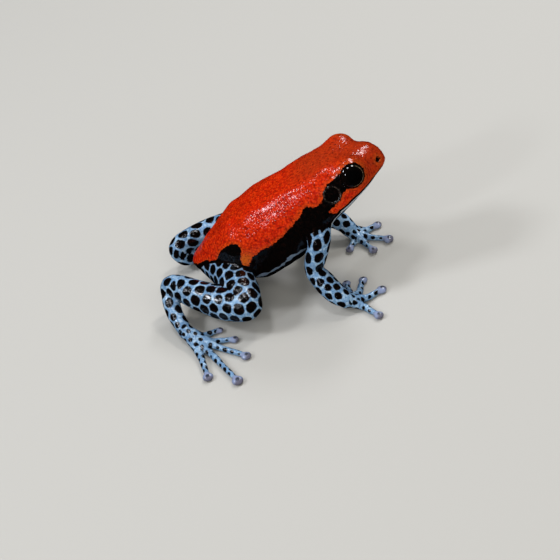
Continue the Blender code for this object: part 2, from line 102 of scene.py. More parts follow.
# %% [markdown]
# ## The backbone line
# Trunk and head hang on one bent line that climbs from the vent to the snout, turns a little to
# the left at the neck and leans. Any point near the body gets three numbers: how far along the
# line it lies, how far sideways and how high above the line. Every feature is placed by them.

# %% Backbone
VENT_HEIGHT = 2.1
TRUNK_PITCH, HEAD_PITCH = 26.4, 20.6
TRUNK_YAW, HEAD_YAW = -4.0, 15.3
TRUNK_ROLL, HEAD_ROLL = 2.0, 4.0
NECK_FROM, NECK_TO = 9.0, 12.1
TABLE_START, TABLE_END, TABLE_STEP = -3.0, 20.0, 0.02

along_table = np.arange(TABLE_START, TABLE_END, TABLE_STEP)
neck_bend = ease((along_table - NECK_FROM) / (NECK_TO - NECK_FROM))
pitch = np.radians(TRUNK_PITCH + (HEAD_PITCH - TRUNK_PITCH) * neck_bend)
yaw = np.radians(TRUNK_YAW + (HEAD_YAW - TRUNK_YAW) * neck_bend)
roll = np.radians(TRUNK_ROLL + (HEAD_ROLL - TRUNK_ROLL) * neck_bend)[:, None]
FORWARD = np.stack([np.cos(pitch) * np.cos(yaw), np.cos(pitch) * np.sin(yaw), np.sin(pitch)], 1)
level_left = np.stack([-np.sin(yaw), np.cos(yaw), np.zeros(len(yaw))], 1)
level_up = np.cross(FORWARD, level_left)
LEFT = level_left * np.cos(roll) - level_up * np.sin(roll)
UP = level_up * np.cos(roll) + level_left * np.sin(roll)
LINE = np.cumsum(FORWARD * TABLE_STEP, axis=0)
LINE += (0, 0, VENT_HEIGHT) - LINE[np.searchsorted(along_table, 0.0)]
print("length of the line:", round(TABLE_END - TABLE_START, 1), "mm in", len(LINE), "steps")

# %% Places along, beside and above the backbone
MIDDLE, MIDDLE_ALONG = len(LINE) // 2, 8.5
FIRST_GUESS_FROM, FIRST_GUESS_TO = -2.5, 19.5


def looked_up(table, along):
    place = (along - TABLE_START) / TABLE_STEP
    below = np.clip(place.astype(int), 0, len(table) - 2)
    share = np.clip(place - below, 0.0, 1.0)
    if table.ndim == 2:
        share = share[:, None]
    return table[below] * (1 - share) + table[below + 1] * share


def body_places(points):
    """Distance from the vent, sideways and height above the line, a column each."""
    along = (points - LINE[MIDDLE]) @ FORWARD[MIDDLE] + MIDDLE_ALONG
    along = np.clip(along, FIRST_GUESS_FROM, FIRST_GUESS_TO)
    for _ in range(4):
        ahead = ((points - looked_up(LINE, along)) * looked_up(FORWARD, along)).sum(1)
        along = np.clip(along + ahead, TABLE_START, TABLE_END - TABLE_STEP)
    away = points - looked_up(LINE, along)
    sideways = (away * looked_up(LEFT, along)).sum(1)
    height = (away * looked_up(UP, along)).sum(1)
    return np.stack([along, sideways, height], 1)


def body_point(along, sideways, height):
    at = np.array([float(along)])
    return (looked_up(LINE, at) + looked_up(LEFT, at) * sideways + looked_up(UP, at) * height)[0]


print("snout tip at", body_point(16.5, 0, -0.37).round(2))

# %% [markdown]
# ## Trunk and head
# The cross-section is a squarish oval. Its half width, top, bottom and widest level run along the
# line in one table. The field is below zero inside, zero on the skin and counts millimetres
# outside. Low ridges and hollows that bones and muscles make are short strokes added to it.

# %% Body outline
# Along the backbone, half width, top, bottom and widest level of each section
SECTION_POWER = 2.3         # 2 is an ellipse, more is squarer
BODY_OUTLINE = np.array([
    (0.00, 0.30, 0.36, 0.42, 0.00),
    (0.50, 0.82, 0.66, 0.98, 0.00),
    (1.20, 1.25, 0.92, 1.45, 0.00),
    (3.00, 2.25, 1.50, 2.45, 0.00),
    (5.00, 3.08, 2.16, 3.38, 0.00),
    (7.50, 3.14, 2.35, 3.28, -0.10),
    (10.00, 2.80, 2.32, 2.42, -0.15),
    (11.50, 2.75, 2.30, 1.95, -0.20),
    (12.60, 2.65, 2.25, 1.65, -0.30),
    (13.50, 2.40, 2.05, 1.47, -0.35),
    (14.50, 1.98, 1.60, 1.27, -0.38),
    (15.30, 1.50, 1.27, 1.12, -0.40),
    (16.00, 0.98, 0.82, 1.02, -0.38),
    (16.35, 0.62, 0.40, 0.84, -0.36),
    (16.70, 0.34, 0.05, 0.62, -0.35),
])
SNOUT_END, REAR_END, END_ROUNDING = 16.45, -0.02, 0.35
outline_table = np.stack(
    [smooth_through(BODY_OUTLINE[:, 0], BODY_OUTLINE[:, k], along_table) for k in range(1, 5)], 1)
MOUTH_LINE = [(11.2, -0.95), (12.0, -0.72), (13.1, -0.68), (14.1, -0.72), (15.0, -0.80),
              (15.8, -0.88), (17.3, -0.92)]
mouth_table = smooth_through(*zip(*MOUTH_LINE), along_table)
print("widest:", round(2 * outline_table[:, 0].max(), 2), "mm")

# %% Bones and muscles under the skin
# Each stroke: start and end as (along, sideways, height), width, height of the ridge
STROKES = [
    ((14.90, 1.42, 0.85), (15.95, 0.75, 0.28), 0.30, 0.09),      # ridge from eye to nostril
    ((14.85, 1.72, 0.00), (15.80, 1.05, -0.20), 0.32, -0.09),    # hollow in front of the eye
    ((12.70, 1.25, 1.75), (14.60, 1.15, 1.25), 0.50, 0.08),      # brow behind the eye
    ((13.40, 0.00, 2.00), (15.00, 0.00, 1.35), 0.45, -0.05),     # hollow between the eyes
    ((2.00, 0.55, 1.05), (5.00, 1.15, 1.95), 0.42, 0.12),        # hip bones under the skin
    ((5.60, 0.00, 2.15), (11.5, 0.00, 2.30), 0.55, -0.06),       # shallow groove of the spine
    ((10.30, 1.60, 1.85), (11.50, 2.05, 1.35), 0.55, 0.10),      # shoulder blade
    ((6.80, 1.75, 2.00), (13.00, 1.70, 1.72), 0.75, 0.10),       # ridge along each side of the back
    ((11.70, 2.40, -0.50), (12.70, 2.40, -0.35), 0.35, 0.07),    # corner of the jaw
    ((12.80, 2.25, 1.35), (12.10, 2.60, 1.05), 0.22, 0.05),      # fold over the eardrum
    ((6.50, 0.00, -3.20), (9.50, 0.00, -2.60), 0.90, 0.05),      # belly resting low
]


def stroke(places, start, end, width, height):
    start, run = np.array(start), np.subtract(end, start)
    share = np.clip((places - start) @ run / (run @ run), 0, 1)
    away = places - start - share[:, None] * run
    return height * np.exp(-(away ** 2).sum(1) / width ** 2)


print("strokes:", len(STROKES))

# %% Field of the trunk
def soft_union(a, b, blend):
    overlap = np.maximum(blend - np.abs(a - b), 0.0) / blend
    return np.minimum(a, b) - overlap * overlap * blend / 4


def soft_cut(a, b, blend):
    return -soft_union(-a, b, blend)


def trunk_field(places):
    along, sideways, height = places.T
    half, top, bottom, middle = looked_up(outline_table, along).T
    rise = height - middle
    reach = np.where(rise > 0, top - middle, bottom + middle)
    ratio = (np.abs(sideways / half) ** SECTION_POWER
             + np.abs(rise / reach) ** SECTION_POWER) ** (1 / SECTION_POWER)
    radius = np.where(ratio > 0.05, np.hypot(sideways, rise) / np.maximum(ratio, 1e-6),
                      np.minimum(half, reach))
    shape = (ratio - 1) * radius
    shape = soft_cut(shape, SNOUT_END - along, END_ROUNDING)
    return soft_cut(shape, along - REAR_END, END_ROUNDING)


print("field in the middle of the trunk:", trunk_field(np.array([[8.0, 0.0, 0.0]])).round(2))

# %% [markdown]
# ## Lids, mouth, eardrums and nostrils
# The eyes bulge: each sits in a ball of skin that the lids leave open round the pupil. Lips are
# two low rolls with a fine groove between them. The eardrum is a flat drum skin inside a thin
# ring, and a nostril is a small pit. All are added to or cut from the same field.

# %% Places on the head
EYE_CENTRE = (14.10, 1.87, 0.71)
EYE_RADIUS = 0.96
EYE_OUTWARD = (0.26, 1.0, 0.22)
EAR_PLACE = (12.34, 0.61)
NOSTRIL_PLACE = (16.09, -0.14)
HEAD_FROM = 10.8


def directions_at(along):
    at = np.array([float(along)])
    return [looked_up(table, at)[0] for table in (FORWARD, LEFT, UP)]


def half_width_at(along, height):
    half, top, bottom, middle = looked_up(outline_table, np.array([float(along)]))[0]
    reach = top - middle if height > middle else bottom + middle
    share = min(abs(height - middle) / reach, 1.0)
    return half * (1 - share ** SECTION_POWER) ** (1 / SECTION_POWER)


def eye_place(side):
    forward, left, up = directions_at(EYE_CENTRE[0])
    out = forward * EYE_OUTWARD[0] + left * EYE_OUTWARD[1] * side + up * EYE_OUTWARD[2]
    return body_point(EYE_CENTRE[0], EYE_CENTRE[1] * side, EYE_CENTRE[2]), out / np.linalg.norm(out)


def side_place(along, height, side):
    """Point on the side of the body and the direction that points out of it."""
    step = 0.1
    place = body_point(along, side * half_width_at(along, height), height)
    ahead = body_point(along + step, side * half_width_at(along + step, height), height)
    above = body_point(along, side * half_width_at(along, height + step), height + step)
    out = np.cross(ahead - place, above - place) * -side
    return place, out / np.linalg.norm(out)


print("right eye at", eye_place(-1)[0].round(2), "eardrum at", side_place(*EAR_PLACE, -1)[0].round(2))

# %% Mouth and lips
LIP_ROLL, LIP_OFFSET, LIP_WIDTH = 0.05, 0.17, 0.12
MOUTH_DEPTH, MOUTH_WIDTH, MOUTH_CORNER, MOUTH_FADE = 0.11, 0.05, 11.7, 0.5


def with_mouth(shape, places):
    gap = places[:, 2] - looked_up(mouth_table, places[:, 0])
    lips = ease((places[:, 0] - MOUTH_CORNER) / MOUTH_FADE)
    shape = shape - lips * LIP_ROLL * (np.exp(-((gap - LIP_OFFSET) / LIP_WIDTH) ** 2)
                                       + np.exp(-((gap + LIP_OFFSET) / LIP_WIDTH) ** 2))
    return shape + lips * MOUTH_DEPTH * np.exp(-(gap / MOUTH_WIDTH) ** 2)


print("depth of the mouth groove:", with_mouth(np.zeros(1), np.array([[14.1, 0.0, -0.72]])).round(3))

# %% Lids
LID_RADIUS, LID_INSET, LID_RISE, LID_BLEND = 1.15, 0.24, 0.08, 0.60
OPENING_RADIUS, OPENING_FLOOR, OPENING_ROUNDING = 0.84, 0.32, 0.10
LID_FOLD_RADIUS, LID_FOLD_WIDTH, LID_FOLD_DEPTH = 1.02, 0.07, 0.035
NEAR_EYE = 2.4


def round_places(points, centre, out):
    """Distance from an axis and height along it."""
    away = points - centre
    up_axis = away @ out
    return np.sqrt(np.maximum((away ** 2).sum(1) - up_axis ** 2, 0.0)), up_axis


def near(points, centre, reach):
    return np.abs(points - centre).max(1) < reach


def with_lids(shape, points, side):
    centre, out = eye_place(side)
    here = near(points, centre, NEAR_EYE)
    around, rise = round_places(points[here], centre, out)
    bulge_centre = centre - out * LID_INSET + directions_at(EYE_CENTRE[0])[2] * LID_RISE
    bulge = np.linalg.norm(points[here] - bulge_centre, axis=1) - LID_RADIUS
    eyed = soft_union(shape[here], bulge, LID_BLEND)
    eyed += LID_FOLD_DEPTH * np.exp(-((around - LID_FOLD_RADIUS) / LID_FOLD_WIDTH) ** 2) * (rise > 0)
    opening = np.maximum(around - OPENING_RADIUS, OPENING_FLOOR - rise)
    shape[here] = soft_cut(eyed, opening, OPENING_ROUNDING)


print("eyeball stands out of the lids by:", round(EYE_RADIUS + LID_INSET - LID_RADIUS, 2), "mm")

# %% Eardrums and nostrils
EAR_RADIUS, EAR_WIRE, EAR_SUNK, EAR_DOME, EAR_ROUNDING = 0.52, 0.085, 0.09, 0.10, 0.06
EAR_RING_OUT = 0.6          # of the ring's thickness, from the drum's rim to the ring's middle
NOSTRIL_RADIUS, NOSTRIL_RIM, NOSTRIL_RIM_WIDTH, NOSTRIL_ROUNDING = 0.21, 0.03, 0.12, 0.05
NEAR_EAR, NEAR_NOSTRIL = 1.2, 0.6


def with_eardrum(shape, points, side):
    centre, out = side_place(*EAR_PLACE, side)
    here = near(points, centre, NEAR_EAR)
    around, rise = round_places(points[here], centre, out)
    ring = np.hypot(around - EAR_RADIUS - EAR_WIRE * EAR_RING_OUT, rise) - EAR_WIRE
    drum = np.maximum(around - EAR_RADIUS,
                      EAR_DOME * (1 - (around / EAR_RADIUS) ** 2) - EAR_SUNK - rise)
    eared = soft_union(shape[here], ring, EAR_ROUNDING)
    shape[here] = soft_cut(eared, drum, EAR_ROUNDING)


def with_nostril(shape, points, side):
    centre, out = side_place(*NOSTRIL_PLACE, side)
    here = near(points, centre, NEAR_NOSTRIL)
    pit = np.linalg.norm(points[here] - centre, axis=1) - NOSTRIL_RADIUS
    rim = NOSTRIL_RIM * np.exp(-(pit / NOSTRIL_RIM_WIDTH) ** 2)
    shape[here] = soft_cut(shape[here] - rim, pit, NOSTRIL_ROUNDING)


def with_head_features(shape, points, places):
    shape = with_mouth(shape, places)
    for side in (1, -1):
        for with_feature in (with_lids, with_eardrum, with_nostril):
            with_feature(shape, points, side)
    return shape


print("right nostril at", side_place(*NOSTRIL_PLACE, -1)[0].round(2))

# %% [markdown]
# ## Limbs and digits
# A limb is a chain of round lengths whose thickness changes smoothly, with the points and radii
# of the solids. A digit runs from the wrist or ankle over its knuckle to a round disc at the tip.

# %% Points and radii of the limbs
LIMBS = {
    "arm_right": [(9.9, -2.0, 5.5, 0.80), (9.85, -3.3, 4.95, 0.80), (9.4, -3.6, 3.85, 0.74),
                  (9.0, -3.62, 2.70, 0.66), (9.6, -4.2, 1.9, 0.78), (10.3, -4.85, 1.3, 0.72),
                  (10.85, -5.2, 0.95, 0.56)],
    "arm_left": [(9.9, 1.2, 5.0, 0.80), (9.8, 2.4, 4.6, 0.80), (9.1, 3.3, 3.8, 0.74),
                 (8.43, 3.68, 2.80, 0.66), (9.2, 3.65, 2.0, 0.78), (10.2, 3.3, 1.45, 0.70),
                 (10.85, 2.9, 0.95, 0.55)],
    "leg_right": [(1.5, -0.8, 2.35, 0.95), (2.5, -2.0, 2.5, 1.20), (3.5, -3.7, 2.6, 1.27),
                  (4.1, -5.3, 2.35, 1.12), (4.05, -5.75, 2.15, 1.05), (2.6, -5.15, 2.1, 1.15),
                  (0.65, -3.95, 2.25, 1.06), (-1.3, -2.6, 2.35, 0.82), (-1.65, -2.9, 1.85, 0.64),
                  (-1.45, -4.1, 1.3, 0.58), (-0.7, -5.6, 0.8, 0.52)],
    "leg_left": [(1.5, 0.8, 2.3, 0.95), (2.6, 1.8, 2.25, 1.15), (3.9, 3.3, 2.15, 1.25),
                 (4.65, 4.5, 1.85, 1.08), (4.55, 4.95, 1.70, 1.02), (2.8, 4.45, 1.80, 1.02),
                 (0.4, 3.40, 2.10, 0.90), (-1.35, 2.6, 1.90, 0.78), (-1.45, 2.4, 1.25, 0.64),
                 (-0.9, 2.5, 0.85, 0.58), (0.6, 3.8, 0.66, 0.50), (1.6, 4.8, 0.68, 0.48)],
}
print("limbs:", list(LIMBS))

# %% Hands and feet
# Root of the hand or foot, then base and tip of each digit on the floor and its disc's radius
HANDS_AND_FEET = {
    "hand_right": ((10.85, -5.1, 0.80), [
        ((11.05, -3.95), (10.70, -2.52), 0.30), ((11.60, -3.95), (11.88, -2.40), 0.32),
        ((12.15, -4.55), (13.24, -3.76), 0.36), ((12.05, -5.45), (13.11, -6.51), 0.33)]),
    "hand_left": ((10.75, 2.95, 0.80), [
        ((11.15, 2.30), (10.82, 1.35), 0.30), ((11.70, 2.05), (12.54, 0.85), 0.32),
        ((12.00, 2.45), (13.63, 1.86), 0.36), ((11.80, 3.10), (12.75, 3.70), 0.33)]),
    "foot_right": ((-0.55, -5.85, 0.72), [
        ((0.45, -6.05), (1.72, -5.58), 0.25), ((1.05, -6.75), (2.87, -6.83), 0.31),
        ((1.45, -7.25), (3.84, -8.78), 0.35), ((1.00, -7.65), (3.40, -11.25), 0.40),
        ((0.45, -7.85), (1.25, -10.44), 0.37)]),
    "foot_left": ((1.7, 4.85, 0.68), [
        ((2.50, 4.60), (3.60, 4.30), 0.25), ((2.90, 5.15), (4.70, 5.35), 0.31),
        ((3.10, 5.60), (5.60, 6.60), 0.35), ((2.90, 6.00), (5.50, 8.60), 0.40),
        ((2.45, 6.05), (3.70, 8.20), 0.37)]),
}
print("digits:", sum(len(rows) for root, rows in HANDS_AND_FEET.values()))

# %% Smooth courses through the points
ROOT_RADIUS, KNUCKLE_RADIUS, TOE_RADIUS, NECK_RADIUS = 0.44, 0.27, 0.21, 0.18
KNUCKLE_HEIGHT, TOE_HEIGHT, DISC_CENTRE = 0.31, 0.24, 0.20
MIDDLE_SHARE, NECK_SHARE = 0.45, 0.85       # from the base of a digit to its tip
LIMB_PIECES, DIGIT_PIECES = 5, 4            # between one point and the next


def course(points, pieces):
    points = [np.asarray(point, float) for point in points]
    padded = [2 * points[0] - points[1], *points, 2 * points[-1] - points[-2]]
    samples = []
    for a, b, c, d in zip(padded, padded[1:], padded[2:], padded[3:]):
        for k in range(pieces):
            t = k / pieces
            samples.append(0.5 * (2 * b + (c - a) * t + (2 * a - 5 * b + 4 * c - d) * t * t
                                  + (3 * b - a - 3 * c + d) * t ** 3))
    samples.append(points[-1])
    return np.array(samples)


def digit_course(root, base, tip):
    mid = [base[k] + (tip[k] - base[k]) * MIDDLE_SHARE for k in range(2)]
    neck = [base[k] + (tip[k] - base[k]) * NECK_SHARE for k in range(2)]
    return course([(*root, ROOT_RADIUS), (*base, KNUCKLE_HEIGHT, KNUCKLE_RADIUS),
                   (*mid, TOE_HEIGHT, TOE_RADIUS), (*neck, TOE_HEIGHT, NECK_RADIUS),
                   (*tip, DISC_CENTRE, NECK_RADIUS)], DIGIT_PIECES)


limb_courses = {name: course(rows, LIMB_PIECES) for name, rows in LIMBS.items()}
digit_rows = [(digit_course(root, base, tip), (*tip, DISC_CENTRE), disc)
              for root, rows in HANDS_AND_FEET.values() for base, tip, disc in rows]
print("samples of the right leg:", len(limb_courses["leg_right"]))

# %% Distances to limbs, digits and discs
DISC_THICKNESS = 0.62       # of the disc's radius


def chain_field(points, samples):
    """Distance to a chain of round lengths, and how far along it the nearest place lies."""
    best, along, travelled = np.full(len(points), 1e3), np.zeros(len(points)), 0.0
    for a, b in zip(samples, samples[1:]):
        run = b[:3] - a[:3]
        length = np.linalg.norm(run)
        share = np.clip((points - a[:3]) @ run / length ** 2, 0, 1)
        away = np.linalg.norm(points - a[:3] - share[:, None] * run, axis=1)
        away -= a[3] + (b[3] - a[3]) * share
        closer = away < best
        best[closer], along[closer] = away[closer], travelled + share[closer] * length
        travelled += length
    return best, along


def in_reach(points, samples, reach=1.0):
    low = (samples[:, :3] - samples[:, 3:]).min(0) - reach
    high = (samples[:, :3] + samples[:, 3:]).max(0) + reach
    return np.flatnonzero(((points > low) & (points < high)).all(1))


def disc_field(points, centre, radius):
    away = (points - np.array(centre)) / (radius, radius, radius * DISC_THICKNESS)
    return (np.linalg.norm(away, axis=1) - 1) * radius * DISC_THICKNESS


first_point = np.array([LIMBS["arm_right"][0][:3]])
print("depth of the right arm's first point:",
      chain_field(first_point, limb_courses["arm_right"])[0].round(2))

# %% [markdown]
# ## The whole skin as one field
# The trunk, the head's features, the limbs and the digits melt into each other with a small
# blend at each joint. The soles are flat where they press on the floor.

# %% Skin field
ARM_BLEND, LEG_BLEND, DIGIT_BLEND, DISC_BLEND = 0.45, 0.40, 0.16, 0.08
SOLE_LEVEL, SOLE_ROUNDING = 0.004, 0.05
BODY_LOW, BODY_HIGH = np.array((-1.6, -4.6, 0.3)), np.array((17.3, 5.2, 12.2))


def skin_field(points):
    shape = np.full(len(points), 1e3)
    here = np.flatnonzero(((points > BODY_LOW) & (points < BODY_HIGH)).all(1))
    places = body_places(points[here])
    body = trunk_field(places)
    mirrored = places * (1, 0, 1) + np.abs(places) * (0, 1, 0)
    for one in STROKES:
        body -= stroke(mirrored, *one)
    head = np.flatnonzero(places[:, 0] > HEAD_FROM)
    body[head] = with_head_features(body[head], points[here[head]], places[head])
    shape[here] = body
    for name, samples in limb_courses.items():
        here = in_reach(points, samples)
        limb, _ = chain_field(points[here], samples)
        blend = ARM_BLEND if name.startswith("arm") else LEG_BLEND
        shape[here] = soft_union(shape[here], limb, blend)
    for samples, centre, disc in digit_rows:
        here = in_reach(points, samples, 0.7)
        digit, _ = chain_field(points[here], samples)
        digit = soft_union(digit, disc_field(points[here], centre, disc), DISC_BLEND)
        shape[here] = soft_union(shape[here], digit, DIGIT_BLEND)
    return soft_cut(shape, points[:, 2] - SOLE_LEVEL, SOLE_ROUNDING)


print("field above the back:", skin_field(np.array([body_point(8, 0, 3.0)])).round(2))

# %% [markdown]
# ## From field to mesh
# Space is cut into small cells. Each cell that the skin passes through gets one vertex, and each
# cell edge that crosses the skin gets a face between its four cells. A first coarse pass finds
# where the skin is, so that the fine cells are computed only there. The vertices are then drawn
# onto the exact skin along the field's slope.

# %% The field on a grid
CELL = 0.12
COARSE = 3                  # fine cells along a coarse one
GRID_LOW, GRID_HIGH = np.array((-2.9, -12.1, -0.3)), np.array((17.2, 9.4, 10.9))


def grid_points(low, step, shape, chosen=None):
    if chosen is None:
        chosen = np.arange(np.prod(shape))
    return low + step * np.stack(np.unravel_index(chosen, shape), 1)


def field_on_grid():
    coarse_shape = np.ceil((GRID_HIGH - GRID_LOW) / (CELL * COARSE)).astype(int) + 1
    coarse_step = CELL * COARSE
    middle = GRID_LOW + CELL * (COARSE - 1) / 2
    coarse = skin_field(grid_points(middle, coarse_step, coarse_shape)).reshape(coarse_shape)
    values = coarse
    for axis in range(3):
        values = np.repeat(values, COARSE, axis)
    near_skin = np.flatnonzero(np.abs(values) < coarse_step * 1.5)
    flat = values.ravel()
    flat[near_skin] = skin_field(grid_points(GRID_LOW, CELL, values.shape, near_skin))
    return flat.reshape(values.shape)


values = field_on_grid()
print("grid:", values.shape)

# %% A vertex in each cell that the skin passes through
def net_vertices(values, low, step):
    """The vertices, and for each cell its vertex's number or -1."""
    inside = values < 0
    size = np.array(values.shape) - 1
    corners = [(i, j, k) for i in (0, 1) for j in (0, 1) for k in (0, 1)]
    count = sum(inside[tuple(slice(c, c + n) for c, n in zip(corner, size))].astype(int)
                for corner in corners)
    cells = np.argwhere((count > 0) & (count < 8))
    number = np.full(size, -1)
    number[tuple(cells.T)] = np.arange(len(cells))
    total, hits = np.zeros((len(cells), 3)), np.zeros(len(cells))
    for corner in corners:
        for axis in range(3):
            if corner[axis]:
                continue
            a, b = cells + corner, cells + corner
            b[:, axis] += 1
            start, end = values[tuple(a.T)], values[tuple(b.T)]
            crossed = (start < 0) != (end < 0)
            share = np.where(crossed, start / np.where(crossed, start - end, 1.0), 0.0)
            total[crossed] += np.array(corner)
            total[:, axis] += share * crossed
            hits += crossed
    return low + step * (cells + total / hits[:, None]), number


skin_points, cell_number = net_vertices(values, GRID_LOW, CELL)
print("vertices:", len(skin_points))

# %% A face round each cell edge that crosses the skin
def net_faces(values, number):
    inside, size = values < 0, number.shape
    faces = []
    for axis in range(3):
        side, other = (axis + 1) % 3, (axis + 2) % 3
        first = [slice(0, n) for n in size]
        second = list(first)
        second[axis] = slice(1, size[axis] + 1)
        low_in, high_in = inside[tuple(first)], inside[tuple(second)]
        edges = np.argwhere(low_in != high_in)
        edges = edges[(edges[:, side] > 0) & (edges[:, other] > 0)]
        around = []
        for back_side, back_other in ((0, 0), (1, 0), (1, 1), (0, 1)):
            cell = edges.copy()
            cell[:, side] -= back_side
            cell[:, other] -= back_other
            around.append(number[tuple(cell.T)])
        quads = np.stack(around, 1)
        flip = ~low_in[tuple(edges.T)]
        quads[flip] = quads[flip][:, ::-1]
        faces.append(quads)
    return np.concatenate(faces)


skin_faces = net_faces(values, cell_number)
print("faces:", len(skin_faces))

# %% Drawn onto the exact skin
def settled(points, rounds=3, reach=0.02, limit=0.06):
    """Moves points onto the skin along the slope of the field, a little each round."""
    for _ in range(rounds):
        value = skin_field(points)
        slope = np.stack([skin_field(points + reach * np.eye(3)[k]) - value for k in range(3)], 1)
        slope /= reach
        move = value / np.maximum((slope ** 2).sum(1), 0.05)
        move = np.clip(move, -limit, limit)
        points = points - move[:, None] * slope
    return points


skin_points = settled(skin_points)
print("middle distance from the exact skin, mm:", np.median(np.abs(skin_field(skin_points))).round(6))

# %% [markdown]
# ## Finer cells where the eye looks
# Lids, lips, eardrums and digits are small beside a cell, so their faces are split once more and
# the new vertices drawn onto the skin again.

# %% Where finer cells are wanted
FINE_ROUND_EYE, FINE_ROUND_EAR, FINE_SNOUT, FINE_MOUTH = 1.6, 0.95, 15.4, 0.30


def wanted_fine(points):
    places = body_places(points)
    head = (places[:, 0] > HEAD_FROM) & (np.abs(trunk_field(places)) < 1.2)
    mouth_gap = np.abs(places[:, 2] - looked_up(mouth_table, places[:, 0]))
    fine = head & (places[:, 0] > MOUTH_CORNER) & (mouth_gap < FINE_MOUTH)
    fine |= head & (places[:, 0] > FINE_SNOUT)
    for side in (1, -1):
        fine |= np.linalg.norm(points - eye_place(side)[0], axis=1) < FINE_ROUND_EYE
        fine |= np.linalg.norm(points - side_place(*EAR_PLACE, side)[0], axis=1) < FINE_ROUND_EAR
    for samples, centre, disc in digit_rows:
        here = in_reach(points, samples, 0.5)
        digit = soft_union(chain_field(points[here], samples)[0],
                           disc_field(points[here], centre, disc), DISC_BLEND)
        fine[here[digit < 0.12]] = True
    return fine


print("share in need of finer cells:", wanted_fine(skin_points).mean().round(2))

# %% Refined skin
def mesh_coordinates(mesh):
    flat = np.empty(len(mesh.vertices) * 3)
    mesh.vertices.foreach_get("co", flat)
    return flat.reshape(-1, 3)


def neighbour_average(mesh, points):
    ends = np.empty(len(mesh.edges) * 2, int)
    mesh.edges.foreach_get("vertices", ends)
    a, b = ends.reshape(-1, 2).T
    total = np.zeros_like(points)
    for axis in range(3):
        total[:, axis] = (np.bincount(a, points[b, axis], len(points))
                          + np.bincount(b, points[a, axis], len(points)))
    return total / (np.bincount(a, minlength=len(points)) + np.bincount(b, minlength=len(points)))[:, None]


skin_mesh = bpy.data.meshes.new("frog_skin")
skin_mesh.from_pydata(skin_points, [], skin_faces.tolist())
relaxed = settled(skin_points * 0.4 + neighbour_average(skin_mesh, skin_points) * 0.6, 2)
fine = wanted_fine(relaxed)
tools = bmesh.new()
tools.from_mesh(skin_mesh)
for vertex, place in zip(tools.verts, relaxed):
    vertex.co = place
tools.verts.ensure_lookup_table()
split = [edge for edge in tools.edges if fine[edge.verts[0].index] and fine[edge.verts[1].index]]
bmesh.ops.subdivide_edges(tools, edges=split, cuts=1, use_grid_fill=True)
tools.to_mesh(skin_mesh)
tools.free()
vertices = mesh_coordinates(skin_mesh)
vertices = settled(vertices * 0.5 + neighbour_average(skin_mesh, vertices) * 0.5, 3)
print("refined skin:", len(vertices), "vertices,",
      sum(len(face.vertices) - 2 for face in skin_mesh.polygons), "triangles")

# %% [markdown]
# ## Where each colour lies
# The real pattern has an edge: red above, black below, with a lobe and notches. It is drawn as a
# closed outline in two numbers, the place along the body and the angle round it, and each
# vertex stores its distance from it. The material then cuts the colours sharply at zero, so the
# edge stays crisp however coarse the mesh is.

# %% Outline of the red
# Along the body and the angle round it: 0 at the widest level, 90 on the back, -90 on the belly
RED_EDGE = [(17.5, 130), (-1.0, 130), (-0.4, 38), (0.60, 30), (0.95, 4), (1.40, 14), (1.80, 26),
            (2.20, 14), (2.75, 12), (3.10, 24), (3.60, 31), (4.30, 34), (5.00, 33), (5.45, 27),
            (5.50, 18), (5.20, 8), (4.85, 0), (4.68, -8), (4.85, -13), (5.20, -11), (5.74, -5),
            (6.58, -2), (7.46, -2), (8.28, -1), (8.82, 1), (9.59, 7), (10.25, 16), (10.53, 22),
            (10.82, 25), (11.04, 18), (11.27, 16), (11.51, 19), (11.78, 25), (12.08, 32),
            (12.44, 37), (12.93, 37), (13.49, 40), (13.98, 31), (13.68, 14), (13.22, 14),
            (12.85, 13), (12.50, 7), (12.09, 3), (11.74, 2), (11.47, -1)]
ANGLE_TO_MM = 0.045
LOBE_PLACE, LOBE_SIZE = (5.1, -4.0), (0.85, 14.0)


def angle_round(places):
    half, top, bottom, middle = looked_up(outline_table, places[:, 0]).T
    rise = places[:, 2] - middle
    reach = np.where(rise > 0, top - middle, bottom + middle)
    return np.degrees(np.arctan2(rise / reach, np.abs(places[:, 1]) / half))


def lip_edge():
    along = np.arange(11.75, 17.4, 0.3)
    height = looked_up(mouth_table, along)
    half = looked_up(outline_table, along)[:, 0]
    return list(zip(along, angle_round(np.stack([along, half, height], 1))))


outline = [(x, y * ANGLE_TO_MM) for x, y in RED_EDGE + lip_edge()]
print("points of the outline:", len(outline))

# %% Distance to the edge of the red
LEFT_WAVES = (4.0, 1.7), (0.35, 0.9)        # the left side's edge differs: height and pace
LIP_BOUND_FROM, MOUTH_ONLY_FROM, BOUND_FADE = 11.8, 15.2, 0.4


def distance_to_path(path, points):
    x, y = points.T
    best = np.full(len(points), 1e9)
    for (ax, ay), (bx, by) in zip(path, path[1:]):
        share = np.clip(((x - ax) * (bx - ax) + (y - ay) * (by - ay))
                        / ((bx - ax) ** 2 + (by - ay) ** 2), 0, 1)
        best = np.minimum(best, np.hypot(x - ax - share * (bx - ax), y - ay - share * (by - ay)))
    return best


def signed_distance_to(outline, points):
    """Distance to a closed outline in the plane, above zero inside."""
    x, y = points.T
    inside = np.zeros(len(points), bool)
    for (ax, ay), (bx, by) in zip(outline, outline[1:] + outline[:1]):
        inside ^= ((ay > y) != (by > y)) & (x < (bx - ax) * (y - ay) / (by - ay + 1e-12) + ax)
    away = distance_to_path(outline + outline[:1], points)
    return np.where(inside, away, -away)


